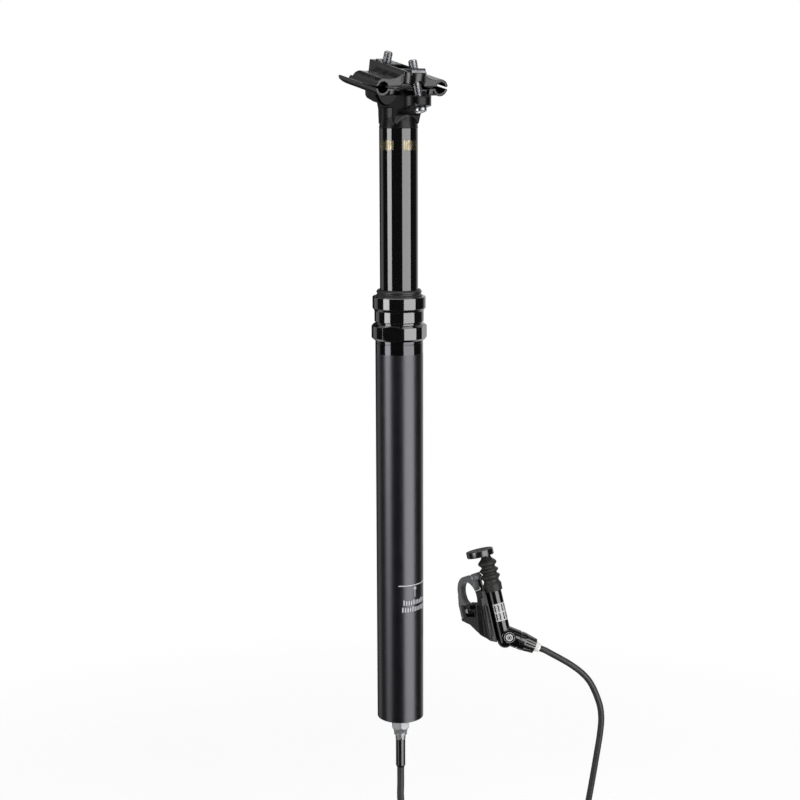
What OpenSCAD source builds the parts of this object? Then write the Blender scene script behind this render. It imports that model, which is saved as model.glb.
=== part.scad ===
// Hydraulic dropper seatpost with its handlebar remote and the hose between them.
// Origin: centre of the outer tube's lower end. +Z runs up the post, +Y to the saddle's rear.

/* [Outer tube] */
// Outside diameter of the outer tube, the seat tube's bore
outer_d = 31.6; // [30.9:0.1:31.8]
// Length of the outer tube
outer_len = 261.7; // [240:1:300]
// Bore of the outer tube
outer_bore = 27.4; // [27.2:0.1:27.8]
// Height of the polished band at the tube's top
top_band = 8.7; // [6:0.1:12]
// Width of the turned groove near the top
groove_w = 0.6; // [0.4:0.1:1]

/* [Collar] */
// Diameter of the collar's round part between its four wrench flats
flats_corners = 36.6; // [35:0.1:38]
// How deep each wrench flat is cut
flat_depth = 1.25; // [0.6:0.05:1.5]
// Height of the wrench flats
flats_h = 10.6; // [8:0.1:14]
// Diameter of the collar's neck
collar_neck_d = 32.5; // [31.6:0.1:34]
// Diameter of the collar's top ring
collar_ring_d = 35; // [33:0.1:37]
// Height of the collar's top ring
collar_ring_h = 8.1; // [7.5:0.1:10]
// Height from the wrench flats to the top ring
collar_neck_h = 9.9; // [8:0.1:13]
// Depth of the collar's threaded spigot in the tube
spigot_len = 14; // [10:0.5:18]

/* [Sliding shaft] */
// Diameter of the sliding shaft
shaft_d = 25; // [24.8:0.1:25.2]
// Wall of the sliding shaft
shaft_wall = 1.5; // [1.4:0.1:1.6]
// Travel of the saddle
travel = 100; // [75:5:100]
// Length of shaft that stays below the collar's top at full height
shaft_overlap = 150; // [145:1:155]
// Height of the gold marking band
mark_band = 6.3; // [4:0.1:8]
// Diameter of the piston rod
rod_d = 10; // [9:0.5:11]

/* [Head and clamp] */
// Diameter of a saddle rail
rail_d = 7; // [7:0.1:7.1]
// Distance between the two rails
rail_spacing = 44; // [43:0.5:45]
// Tilt of the saddle clamp as photographed
clamp_tilt = 12; // [0:1:14]
// Height of the clamp's tilting centre above the shaft's end
tilt_height = 28.5; // [28:0.1:30]
// Radius of the clamp's rocking face
rocker_r = 14; // [13.5:0.1:14.2]
// Width of the head's ears
ear_w = 19; // [18:0.5:22]
// Diameter of the clamp bolts
bolt_d = 5.8; // [5:0.1:6]
// Length of the upper jaws
jaw_len = 29; // [26:0.5:32]
// Length of the lower cradle
cradle_len = 45.5; // [42:0.5:52]
// Wall of the jaws round the rail
jaw_wall = 1.9; // [1.7:0.1:2.4]

/* [Remote] */
// Diameter of the remote's barrel
barrel_d = 12; // [11:0.5:13]
// Length of the barrel above the elbow
barrel_len = 43; // [41:1:46]
// Stroke of the thumb button
stroke = 9; // [6:0.5:9]
// Diameter of the thumb button
button_d = 21.6; // [18:0.1:24]
// Thickness of the thumb button
button_t = 5; // [3:0.1:5.5]
// Bore of the handlebar clamp
bar_d = 22.2; // [22:0.1:22.4]
// Width of the bracket along the handlebar
jaw_w = 12; // [10:0.5:14]
// Width of the hinged strap along the handlebar
strap_w = 5.4; // [4:0.1:5.6]
// Thickness of the hinged strap
strap_t = 4.6; // [3.5:0.1:5]
// Widest diameter of the speed adjuster
knob_d = 14.6; // [13:0.1:16]

/* [Hose] */
// Diameter of the hose
hose_d = 5; // [4.5:0.1:5]
// Loops in the put-away coil
coil_loops = 6; // [4:1:7]

/* [Hidden] */
$fn = 64;

running = 0.03;
press = 0.02;
seat_gap = 0.3;
loose = 0.4;

// Heights along the post
flats_top = outer_len + flats_h;
ring_low = flats_top + collar_neck_h;
collar_top = ring_low + collar_ring_h;
spigot_low = outer_len - spigot_len;
wiper_h = 4.3;
wiper_top = collar_top + wiper_h;
shaft_low = collar_top - shaft_overlap;
shaft_top = wiper_top + travel + 3.6;
mark_top = shaft_top - 7.5;
shaft_r = shaft_d / 2;
shaft_bore = shaft_d - 2 * shaft_wall;
spigot_d = outer_bore + 2;
wiper_t = 2.9;
wiper_seat_d = shaft_d + 2 * wiper_t;
wiper_seat_h = 6.4;
bushing_t = 1;
bushing_len = 18;
seal_t = 2;
seal_len = 6;
low_bush_len = 14;
key_d = 3;
key_r = outer_bore / 2 - 0.6;
key_len = 14;
valve_d = 7.6;

// The gas and oil cartridge
plug_len = 12;
seal_head_low = shaft_low + 2;
seal_head_len = 18;
bumper_len = 3.6;
piston_low = seal_head_low + seal_head_len + bumper_len + seat_gap;
piston_len = 12;
valve_lift = 1.4;
float_low = shaft_low + 160;
float_len = 12;
rod_bore = 5;

// The base fittings below the tube
nut_h = 12.4;
nut_d = 13.2;
barb_h = 1.6;
notch_h = 3.5;
sleeve_len = 20.7;
sleeve_d = 6.6;
notch_d = 7;
hose_exit = -(nut_h + barb_h + notch_h + sleeve_len);

// Clamp: pivots of the two bolts in the head, and the slope of each bolt
tilt_z = shaft_top + tilt_height;
neck_h = 7;
flare_h = 13;
ear_outline = [[-9.4, 3], [-11.4, 8.4], [-15, 11.8], [-21, 13.4], [-31, 14.2], [-31.4, 16], [-29, 19.8],
    [-20, 20.6], [-16.4, 23.2], [14.6, 23.2], [17, 24.6], [28, 26], [31, 25.4], [31, 24], [23, 19.4],
    [15, 16.8], [11, 16.2], [9.6, 12], [9.2, 3]];
front_slope = 16;
rear_slope = 21;
front_pivot = [0, -24, shaft_top + 13.6];
rear_pivot = [0, 21.7, shaft_top + 20.4];
front_reach = 21.6;
rear_reach = 22.3;
washer_r = 3.8;
washer_w = 11;
washer_flat = 0.4;
nut_r = 5;
nut_len = 10.6;
head_h = 3.2;
bolt_head_d = 8;
jaw_r = rail_d / 2 + jaw_wall;
front_end = -16.3;
split = 1.2;
clamp_top = 10.6;
boss_r = 7.6;
box_end = 24.6;
front_boss = -16.6;
rear_boss = 16.1;

// Remote: where it lies, and how it leans in the photograph
bearing = -34;
remote_at = [82, 150, 2.4];
remote_back = -9.5;
remote_lean = -12.8;
bar_at = [-20, 10, 36];
bar_turn = 31;
hinge_q = -11.6;
eye_d = 6;
hinge_w = 14.9;
pin_d = 2.6;
bolt_q = 11.2;
bolt_w = -13;
strap_screw_d = 4;
screw_head_d = 7;
tail_q = 15.4;
tail_t = 3.2;
tail_end = -18.6;
split_w = -8.4;
eye_end = 8.2;
barrel_r = barrel_d / 2;
barrel_bore = barrel_d - 3;
button_w = 66.3;
spine_outline = [[-11.5, -7.6], [-6.3, -5.2], [-5, 0], [-1, 7.6], [-6, 12], [-16, 6]];
jaw_outline = [[8, -24], [-4, -32], [-14, -40], [-20, -40], [-20, 4], [-4, 4], [0, -6]];
foot_outline = [[-34, 60], [-34, 14.5], [-30.4, 14.5], [-24, 10], [-18, 4], [-12, 0.6], [-6, -2.4], [0, -4],
    [20, -4], [20, 60]];
piston2_w = 26;
cup_low = barrel_len - 5.5;
cup_h = 5.4;
boot_len = button_w - 1.6 - cup_low - cup_h;
button_shift = -3.8;
rod2_d = 4;
elbow_at = [3.5, 0, 0];
elbow_drop = 34.8;
elbow_r = 7.4;
elbow_len = 8.2;
knob_len = 14.2;
ferrule_len = 4;
ferrule_d = 7;

// Hose: chosen points, in the plane turned to the photograph. The coil stands upright below the view
coil_at = [108, 107, -192];
coil_turn = 45;
coil_low_r = 28.5;
coil_gap = 0.7;
coil_lead = 6;
coil_rings = 24;
tie_w = 9;
tie_t = 1.2;
run_sides = 8;
coil_sides = 6;
post_points = [[0, 0, -50], [0, 0, -63], [2.5, 2.5, -84], [10, 9.5, -101.5], [22, 20.5, -115],
    [39.5, 37, -122.5], [57, 53, -130.5], [68.5, 64, -144], [76, 71, -162]];
remote_points = [[136, 147.5, -21], [149, 147, -33], [157, 147, -50], [159.5, 147, -63], [159, 147, -76],
    [157, 147, -92], [152, 147, -127], [149, 146, -143], [143.5, 143.5, -160], [138.8, 141, -174]];

// Cubic blend through four points
function blend4(a, b, c, d, t) = 0.5 * ((2 * b) + (c - a) * t + (2 * a - 5 * b + 4 * c - d) * t * t
    + (3 * b - a - 3 * c + d) * t * t * t);
function at_end(p, i) = i < 0 ? 2 * p[0] - p[1] : i > len(p) - 1 ? 2 * p[len(p) - 1] - p[len(p) - 2] : p[i];
function smooth(p, n) = concat([for (i = [0 : len(p) - 2], k = [0 : n - 1])
    blend4(at_end(p, i - 1), p[i], p[i + 1], at_end(p, i + 2), k / n)], [p[len(p) - 1]]);
function unit(v) = v / norm(v);
function heading(p, i) = unit(i == 0 ? p[1] - p[0] : i == len(p) - 1 ? p[i] - p[i - 1] : p[i + 1] - p[i - 1]);

// A round tube swept along points. No point of it runs along up, so its rings don't twist
module sweep_tube(p, r, n, up = [0, 1, 0]) {
    pts = [for (i = [0 : len(p) - 1]) let (d = heading(p, i), s = unit(cross(d, up)), u = cross(d, s))
        for (k = [0 : n - 1]) p[i] + r * (cos(360 * k / n) * s + sin(360 * k / n) * u)];
    sides = [for (i = [0 : len(p) - 2], k = [0 : n - 1]) let (a = i * n + k, b = i * n + (k + 1) % n)
        each [[a, b, a + n], [b, b + n, a + n]]];
    far = (len(p) - 1) * n;
    ends = [for (k = [1 : n - 2]) each [[0, k + 1, k], [far, far + k, far + k + 1]]];
    polyhedron(points = pts, faces = concat(sides, ends), convexity = 6);
}

module ring(d_out, d_in, h) {
    difference() {
        cylinder(d = d_out, h = h);
        translate([0, 0, -1]) cylinder(d = d_in, h = h + 2);
    }
}

// A bar along X, centred
module rod_x(d, len) {
    rotate([0, 90, 0]) cylinder(d = d, h = len, center = true);
}

// A bar along Y from y0 to y1
module rod_y(d, y0, y1) {
    translate([0, y0, 0]) rotate([-90, 0, 0]) cylinder(d = d, h = y1 - y0);
}

// Slot plan with round ends, along Y
module slot_plan(w, y0, y1, h) {
    translate([0, y0, 0]) cylinder(d = w, h = h);
    translate([0, y1, 0]) cylinder(d = w, h = h);
    translate([-w / 2, y0, 0]) cube([w, y1 - y0, h]);
}

module outer_tube() {
    color("#2a2d31") difference() {
        cylinder(d = outer_d, h = outer_len);
        translate([0, 0, -1]) cylinder(d = outer_bore, h = outer_len + 2);
        translate([0, 0, spigot_low - seat_gap]) cylinder(d = spigot_d + 2 * press, h = spigot_len + 1);
        for (a = [90 : 120 : 330]) rotate([0, 0, a]) translate([key_r, 0, plug_len])
            cylinder(d = key_d + 2 * running, h = outer_len);
        translate([0, 0, outer_len - 2.4]) ring(outer_d + 2, outer_d - 0.6, groove_w);
    }
}

module base_plug() {
    color("#b9bcc0") difference() {
        translate([0, 0, 1.2]) cylinder(d = outer_bore - 2 * press, h = plug_len - 1.2);
        translate([0, 0, 4]) ring(outer_bore + 2, outer_bore - 2.4, 2);
        translate([0, 0, plug_len - 6]) cylinder(d = rod_d + 2 * press, h = 10);
        cylinder(d = nut_d - 4 + 2 * press, h = 20);
        translate([0, 0, 0]) cylinder(d = nut_d + 6, h = 2.2);
    }
}

module base_seal_ring() {
    color("#1b1b1c") translate([0, 0, 4.1]) ring(outer_bore - 2 * running, outer_bore - 2.4, 1.8);
}

module hose_nut() {
    color("#c6c9cd") difference() {
        union() {
            translate([0, 0, -nut_h]) intersection() {
                cylinder(d = nut_d, h = nut_h - 0.2, $fn = 6);
                rotate_extrude() polygon([[0, 0], [nut_d / 2 - 2, 0], [nut_d / 2 - 1.7, 1.6], [nut_d / 2, 4.6],
                    [nut_d / 2, nut_h], [0, nut_h]]);
            }
            translate([0, 0, -0.4]) cylinder(d = nut_d - 4, h = 6);
            translate([0, 0, -0.4]) cylinder(d = nut_d + 5, h = 2.4);
            translate([0, 0, -nut_h - barb_h]) cylinder(d = 9, h = barb_h + 1);
        }
        translate([0, 0, -nut_h - barb_h - 1]) cylinder(d = 3, h = 30);
    }
}

module hose_barb_ring() {
    color("#8d9094") translate([0, 0, -nut_h - barb_h - notch_h]) difference() {
        ring(notch_d, 3, notch_h);
        for (a = [0 : 60 : 300]) rotate([0, 0, a]) translate([notch_d / 2 - 0.7, -0.5, -1]) cube([2, 1, 2.6]);
    }
}

module hose_sleeve() {
    color("#1a1b1d") translate([0, 0, hose_exit]) difference() {
        union() {
            translate([0, 0, 1.4]) cylinder(d = sleeve_d, h = sleeve_len - 1.4);
            cylinder(d1 = hose_d + 0.6, d2 = sleeve_d, h = 1.4);
        }
        translate([0, 0, 4]) cylinder(d = 3, h = sleeve_len);
    }
}

// Outline of the collar beside its wrench flats, as radius and height
module collar_outline() {
    polygon([[shaft_r, spigot_low], [spigot_d / 2, spigot_low], [spigot_d / 2, outer_len + 1],
        [collar_neck_d / 2 - 1, outer_len + 1], [collar_neck_d / 2 - 1, flats_top + 1],
        [collar_neck_d / 2, flats_top + 1.6], [collar_neck_d / 2, ring_low - 1.4],
        [collar_ring_d / 2 - 0.4, ring_low], [collar_ring_d / 2, ring_low + 0.5],
        [collar_ring_d / 2, collar_top - 0.5], [collar_ring_d / 2 - 0.5, collar_top], [shaft_r, collar_top]]);
}

module collar() {
    flats_r = flats_corners / 2;
    across = flats_corners - 2 * flat_depth;
    color("#4a4d51") difference() {
        union() {
            rotate_extrude() collar_outline();
            translate([0, 0, outer_len]) intersection() {
                rotate([0, 0, bearing - 15]) translate([-across / 2, -across / 2, 0]) cube([across, across, flats_h]);
                rotate_extrude() polygon([[0, 0], [flats_r - 1.7, 0], [flats_r, 1.5], [flats_r, flats_h - 1.5],
                    [flats_r - 1.7, flats_h], [0, flats_h]]);
            }
        }
        translate([0, 0, spigot_low - 1])
            cylinder(d = shaft_d + 2 * bushing_t + 2 * press, h = bushing_len + 2);
        translate([0, 0, spigot_low - 1]) cylinder(d = shaft_d + 0.8, h = collar_top - spigot_low + 2);
        translate([0, 0, flats_top - 1]) cylinder(d = shaft_d + 2 * seal_t + 2 * press, h = seal_len);
        translate([0, 0, collar_top - wiper_seat_h - 0.1]) cylinder(d = wiper_seat_d, h = wiper_seat_h + 1);
    }
}

module upper_bushing() {
    color("#8f6a3c") translate([0, 0, spigot_low + 1])
        ring(shaft_d + 2 * bushing_t, shaft_d + 2 * running, bushing_len);
}

module shaft_seal() {
    color("#2d2d30") translate([0, 0, flats_top - 0.9])
        ring(shaft_d + 2 * seal_t, shaft_d + 2 * running, seal_len - 0.2);
}

// Rubber wiper: a plain ring in the collar's seat, and a grooved lip above it
module dust_wiper() {
    lip = wiper_t - 0.1;
    color("#161719") translate([0, 0, collar_top - wiper_seat_h]) rotate_extrude() polygon([
        [shaft_r + 0.08, 0], [shaft_r + lip, 0], [shaft_r + lip, wiper_seat_h],
        [shaft_r + 0.86 * lip, wiper_seat_h + 0.21 * wiper_h], [shaft_r + 0.68 * lip, wiper_seat_h + 0.35 * wiper_h],
        [shaft_r + 0.68 * lip, wiper_seat_h + 0.49 * wiper_h], [shaft_r + 0.86 * lip, wiper_seat_h + 0.58 * wiper_h],
        [shaft_r + 0.82 * lip, wiper_seat_h + 0.77 * wiper_h], [shaft_r + 0.54 * lip, wiper_seat_h + wiper_h],
        [shaft_r + 0.14 * lip, wiper_seat_h + wiper_h], [shaft_r + 0.08, wiper_seat_h + 0.86 * wiper_h]]);
}

module piston_rod() {
    color("#c9ccd0") translate([0, 0, plug_len - 6]) difference() {
        cylinder(d = rod_d, h = piston_low - plug_len + 6);
        translate([0, 0, -1]) cylinder(d = rod_bore, h = 400);
    }
}

module main_piston() {
    color("#c2a25c") translate([0, 0, piston_low]) difference() {
        cylinder(d = shaft_bore - 2 * running, h = piston_len);
        translate([0, 0, 4.4]) ring(shaft_bore + 2, shaft_bore - 3.2, 3.2);
        translate([0, 0, -1]) cylinder(d = rod_bore, h = 30);
        for (a = [0 : 60 : 300]) rotate([0, 0, a]) translate([6.4, 0, -1]) cylinder(d = 1.8, h = 30);
    }
}

module piston_seal() {
    color("#202022") translate([0, 0, piston_low + 4.5])
        ring(shaft_bore - 2 * running, shaft_bore - 3.2 + 2 * press, 3);
}

module poppet_valve() {
    color("#d7d9dc") {
        translate([0, 0, piston_low + piston_len + 0.1]) cylinder(d1 = 8.6, d2 = 7.4, h = 2.6);
        translate([0, 0, piston_low - 40]) cylinder(d = 3, h = piston_len + 41);
        translate([0, 0, piston_low + 1]) cylinder(d = rod_bore - 2 * running, h = 3);
        translate([0, 0, piston_low - 40]) cylinder(d = rod_bore - 2 * running, h = 4);
    }
}

module upper_tube() {
    color("#0f1013") difference() {
        translate([0, 0, shaft_low]) cylinder(d = shaft_d, h = shaft_top - shaft_low);
        translate([0, 0, shaft_low - 1]) cylinder(d = shaft_bore, h = shaft_top - shaft_low - 5);
        translate([0, 0, shaft_low + 1]) ring(shaft_d + 2, shaft_d - 0.8, low_bush_len + 0.2);
        for (a = [90 : 120 : 330]) rotate([0, 0, a]) translate([key_r, 0, shaft_low + 17])
            cylinder(d = key_d + 2 * press, h = key_len + 0.2);
        translate([0, 0, shaft_top - 8]) cylinder(d = valve_d + 2 * press, h = 20);
    }
}

module seal_head() {
    color("#9a9da1") translate([0, 0, seal_head_low]) difference() {
        cylinder(d = shaft_bore - 2 * press, h = seal_head_len);
        translate([0, 0, -1]) cylinder(d = rod_d + 2 * running, h = 40);
        translate([0, 0, 8]) cylinder(d = rod_d + 3, h = 4);
    }
}

module rod_seal() {
    color("#202022") translate([0, 0, seal_head_low + 8.1]) ring(rod_d + 2.9, rod_d + 2 * running, 3.8);
}

module top_out_bumper() {
    color("#6b2f2a") translate([0, 0, seal_head_low + seal_head_len])
        ring(shaft_bore - 3, rod_d + 1, bumper_len);
}

module lower_bushing() {
    color("#8f6a3c") translate([0, 0, shaft_low + 1.1]) difference() {
        ring(outer_bore - 2 * running, shaft_d - 0.8 + 2 * press, low_bush_len);
        translate([0, -0.6, -1]) cube([20, 1.2, 30]);
    }
}

module guide_key(a) {
    color("#b08d4f") rotate([0, 0, a]) translate([key_r, 0, shaft_low + 17.1])
        cylinder(d = key_d, h = key_len);
}

module guide_key_a() {
    guide_key(90);
}

module guide_key_b() {
    guide_key(210);
}

module guide_key_c() {
    guide_key(330);
}

module floating_piston() {
    color("#b7babe") translate([0, 0, float_low]) difference() {
        cylinder(d = shaft_bore - 2 * running, h = float_len);
        translate([0, 0, 4.4]) ring(shaft_bore + 2, shaft_bore - 3.2, 3.2);
        translate([0, 0, 5]) cylinder(d = 14, h = 20);
    }
}

module floating_piston_seal() {
    color("#202022") translate([0, 0, float_low + 4.5])
        ring(shaft_bore - 2 * running, shaft_bore - 3.2 + 2 * press, 3);
}

// Moves into the saddle clamp's tilted frame
module clamp_frame() {
    translate([0, 0, tilt_z]) rotate([clamp_tilt, 0, 0]) children();
}

// Moves to a bolt's lower pivot, with Z along the bolt
module bolt_frame(pivot, slope) {
    translate(pivot) rotate([slope, 0, 0]) children();
}

module head() {
    color("#26282b") difference() {
        union() {
            translate([0, 0, shaft_top]) rotate_extrude() polygon([[0, 0], [shaft_d / 2 + 0.2, 0],
                [shaft_d / 2 - 1, neck_h], [ear_w / 2 + 2.3, flare_h], [0, flare_h]]);
            intersection() {
                translate([-ear_w / 2 - 1, 0, shaft_top]) rotate([90, 0, 90]) linear_extrude(ear_w + 2)
                    polygon(ear_outline);
                translate([0, 0, shaft_top]) slot_plan(ear_w, front_pivot[1] + 4, rear_pivot[1], 60);
            }
        }
        translate([0, 0, tilt_z]) rod_x(2 * (rocker_r + seat_gap), 60);
        bolt_frame(front_pivot, -front_slope) ear_cut();
        bolt_frame(rear_pivot, rear_slope) ear_cut();
        translate([0, 0, shaft_top - 1]) cylinder(d = valve_d + 0.8, h = 40);
    }
}

// Hole for a swinging bolt, and the round seat of its washer below the ear
module ear_cut() {
    cylinder(d = bolt_d + 2.2, h = 40);
    rod_x(2 * (washer_r + seat_gap), washer_w + 2 * seat_gap);
    translate([-washer_w / 2 - seat_gap, -washer_r - seat_gap, -30])
        cube([washer_w + 2 * seat_gap, 2 * (washer_r + seat_gap), 30]);
}

module air_valve() {
    color("#c9a85a") translate([0, 0, shaft_top - 8]) difference() {
        union() {
            cylinder(d = valve_d, h = 8);
            cylinder(d = 5.2, h = 16);
        }
        translate([0, 0, -1]) cylinder(d = 2.4, h = 30);
    }
}

module valve_cap() {
    color("#17181a") translate([0, 0, shaft_top + 2]) difference() {
        cylinder(d = valve_d, h = 8.2);
        translate([0, 0, -1]) cylinder(d = 5.2 + 2 * press, h = 7.2);
    }
}

module lower_cradle() {
    color("#232528") clamp_frame() difference() {
        union() {
            for (s = [-1, 1]) translate([s * rail_spacing / 2, 0, 0]) {
                rod_y(2 * jaw_r, front_end, front_end + cradle_len);
                translate([-s * jaw_r - (s > 0 ? 3.4 : 0), front_end, -jaw_r + 0.9])
                    cube([3.4, jaw_len, jaw_r - 0.9]);
            }
            intersection() {
                rod_x(2 * rocker_r, rail_spacing - 2);
                translate([-rail_spacing / 2, -rocker_r, -5.6]) cube([rail_spacing, 2 * rocker_r, 4.2]);
            }
            intersection() {
                rod_x(2 * rocker_r, ear_w - 2);
                translate([-20, -20, -20]) cube([40, 40, 18.6]);
            }
        }
        for (s = [-1, 1]) translate([s * rail_spacing / 2, 0, 0]) {
            rod_y(rail_d, front_end - 1, front_end + cradle_len + 1);
            translate([-15, front_end - 1, -split / 2]) cube([30, cradle_len + 2, 20]);
            translate([0, front_end + cradle_len - 8, -jaw_r - 1.3]) rotate([24, 0, 0]) translate([-10, 0, -10])
                cube([20, 20, 10]);
        }
        translate([-bolt_d / 2 - 1.8, rocker_r - 3, -20]) cube([bolt_d + 3.6, 20, 40]);
    }
}

module upper_clamp() {
    color("#26282b") clamp_frame() difference() {
        union() {
            for (s = [-1, 1]) translate([s * rail_spacing / 2, 0, 0])
                rod_y(2 * jaw_r, front_end, front_end + jaw_len);
            translate([0, front_end, 0]) rotate([-90, 0, 0]) linear_extrude(jaw_len) polygon([
                [-rail_spacing / 2, -jaw_r], [-rail_spacing / 2 + 6.6, -jaw_r + 0.4], [-boss_r, -7.2],
                [boss_r, -7.2], [rail_spacing / 2 - 6.6, -jaw_r + 0.4], [rail_spacing / 2, -jaw_r],
                [rail_spacing / 2 - 2, -split / 2], [boss_r + 2, -split / 2], [boss_r, -2.2],
                [-boss_r, -2.2], [-boss_r - 2, -split / 2], [-rail_spacing / 2 + 2, -split / 2]]);
            translate([0, 0, 3]) slot_plan(2 * boss_r, front_boss, rear_boss, clamp_top - 3);
            translate([-boss_r, 0, 3]) cube([2 * boss_r, box_end, clamp_top - 3]);
        }
        for (s = [-1, 1]) translate([s * rail_spacing / 2, 0, 0]) {
            rod_y(rail_d, front_end - 1, front_end + jaw_len + 1);
            translate([-15, front_end - 1, -20 + split / 2]) cube([30, jaw_len + 2, 20]);
        }
        translate([-boss_r + 1.8, front_boss + 7.6, clamp_top - 4.5])
            cube([2 * boss_r - 3.6, rear_boss - front_boss - 15.2, 10]);
        upper_cut(front_boss, 9.6, -front_slope - clamp_tilt);
        upper_cut(rear_boss, 9.7, rear_slope - clamp_tilt);
    }
}

// Seat of a round nut in the clamp, and the loose hole of its bolt
module upper_cut(y, z, slope) {
    translate([0, y, z]) {
        rod_x(2 * (nut_r + seat_gap), nut_len + 2 * seat_gap);
        translate([-nut_len / 2 - seat_gap, -nut_r - seat_gap, 0])
            cube([nut_len + 2 * seat_gap, 2 * (nut_r + seat_gap), 20]);
        rotate([slope, 0, 0]) translate([0, 0, -20]) cylinder(d = bolt_d + 3.2, h = 40);
    }
}

// Round nut with a flat top, across its bolt
module barrel_nut() {
    color("#34373a") difference() {
        rod_x(2 * nut_r, nut_len);
        translate([-20, -20, 1.3]) cube([40, 40, 20]);
        translate([0, 0, -20]) cylinder(d = bolt_d + 2 * loose, h = 40);
    }
}

// Half-round washer below an ear
module ear_washer() {
    color("#2c2e31") difference() {
        rod_x(2 * washer_r, washer_w);
        translate([-20, -20, -20 - washer_flat]) cube([40, 40, 20]);
        translate([0, 0, -20]) cylinder(d = bolt_d + 2 * press, h = 40);
    }
}

// Socket head bolt that points up from its washer
module clamp_bolt(shank) {
    color("#c7cace") difference() {
        rotate_extrude() polygon([[0, -washer_flat - head_h], [bolt_head_d / 2 - 0.4, -washer_flat - head_h],
            [bolt_head_d / 2, -washer_flat - head_h + 0.4], [bolt_head_d / 2, -washer_flat],
            [bolt_d / 2, -washer_flat], [bolt_d / 2, shank - 0.6], [bolt_d / 2 - 0.6, shank], [0, shank]]);
        translate([0, 0, -washer_flat - head_h - 1]) cylinder(d = 5, h = 3.6, $fn = 6);
    }
}

module front_nut() {
    bolt_frame(front_pivot, -front_slope) translate([0, 0, front_reach]) barrel_nut();
}

module rear_nut() {
    bolt_frame(rear_pivot, rear_slope) translate([0, 0, rear_reach]) barrel_nut();
}

module front_bolt() {
    bolt_frame(front_pivot, -front_slope) clamp_bolt(front_reach + 8);
}

module rear_bolt() {
    bolt_frame(rear_pivot, rear_slope) clamp_bolt(rear_reach + 7.6);
}

module front_washer() {
    bolt_frame(front_pivot, -front_slope) ear_washer();
}

module rear_washer() {
    bolt_frame(rear_pivot, rear_slope) ear_washer();
}

// Turns the photograph's plane into the part's frame
module photo_plane() {
    rotate([0, 0, bearing]) children();
}

// Moves into the remote's frame: its barrel runs along Z
module remote_frame() {
    photo_plane() translate(remote_at) rotate([remote_back, 0, 0]) rotate([0, remote_lean, 0]) children();
}

// Moves into the handlebar's frame: X along the bar, Y away from the barrel, Z along it
module bar_frame() {
    translate(bar_at) rotate([0, 0, bar_turn]) children();
}

// Moves into the adjuster's frame: Z along its axis
module knob_frame() {
    translate(elbow_at) rotate([0, 90 + elbow_drop, 0]) children();
}

module remote_barrel() {
    color("#0d0e10") remote_frame() difference() {
        union() {
            translate([0, 0, -3]) cylinder(d = barrel_d, h = barrel_len + 3);
            translate([0, 0, -3]) sphere(d = barrel_d);
            knob_frame() rotate_extrude() polygon([[0, -5.4], [elbow_r - 1.5, -5.4], [elbow_r, -3],
                [elbow_r, elbow_len], [4, elbow_len], [4, elbow_len + knob_len], [0, elbow_len + knob_len]]);
            translate([elbow_at[0], 0, 0]) rotate([90, 0, 0]) cylinder(d = 10.4, h = 8);
        }
        translate([0, 0, 6]) cylinder(d = barrel_bore, h = barrel_len);
        cylinder(d = 2, h = 10);
        knob_frame() cylinder(d = 3, h = 60);
        translate([elbow_at[0], -8.6, 0]) rotate([-90, 0, 0]) cylinder(d = 5 + 2 * press, h = 6);
        translate([elbow_at[0], 8.4, 0]) rotate([90, 0, 0]) cylinder(d = 5 + 2 * press, h = 4);
    }
}

module bleed_screw() {
    color("#bfc2c6") remote_frame() translate([elbow_at[0], -8, 0]) rotate([90, 0, 0]) difference() {
        union() {
            cylinder(d = 8.8, h = 1.2);
            translate([0, 0, -4.6]) cylinder(d = 5, h = 5);
        }
        translate([0, 0, 0.8]) ring(6.6, 5.2, 2);
        translate([0, 0, 0.2]) cylinder(d = 2.9, h = 4, $fn = 6);
    }
}

module elbow_plug() {
    color("#3a3c3f") remote_frame() translate([elbow_at[0], elbow_r, 0]) rotate([-90, 0, 0]) {
        cylinder(d = 7, h = 1.1);
        translate([0, 0, -2.8]) cylinder(d = 5, h = 3);
    }
}

module speed_knob() {
    color("#101113") remote_frame() knob_frame() translate([0, 0, elbow_len + seat_gap]) difference() {
        rotate_extrude() polygon([[3, 0], [knob_d / 2 - 0.7, 0], [knob_d / 2 - 0.7, 1], [knob_d / 2, 1],
            [knob_d / 2, 4.4], [knob_d / 2 - 0.2, 4.4], [knob_d / 2 - 1.4, knob_len - 0.6], [3, knob_len - 0.6]]);
        translate([0, 0, -1]) cylinder(d = 8 + 2 * running, h = knob_len + 2);
        for (a = [0 : 30 : 330]) rotate([0, 0, a]) translate([knob_d / 2 + 0.5, 0, 5.4])
            rotate([0, -5, 0]) cylinder(d = 3, h = 20);
    }
}

module hose_ferrule() {
    color("#e8e8e6") remote_frame() knob_frame() translate([0, 0, elbow_len + knob_len]) {
        cylinder(d = 8, h = 1.2);
        cylinder(d = ferrule_d, h = ferrule_len);
    }
}

module thumb_button() {
    color("#3c3e41") remote_frame() difference() {
        union() {
            translate([button_shift, 0, button_w]) rotate_extrude() polygon([[0, 0], [button_d / 2 - 0.3, 0],
                [button_d / 2, 0.5], [button_d / 2, button_t - 0.4], [button_d / 2 - 0.4, button_t], [0, button_t]]);
            translate([0, 0, button_w - 1.4]) cylinder(d = 7.6, h = 2);
        }
        translate([0, 0, button_w - 2]) cylinder(d = rod2_d + 2 * press, h = 4);
    }
}

module master_rod() {
    color("#b8bbbf") remote_frame() translate([0, 0, piston2_w + 6])
        cylinder(d = rod2_d, h = button_w + 2 - piston2_w - 6);
}

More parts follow.
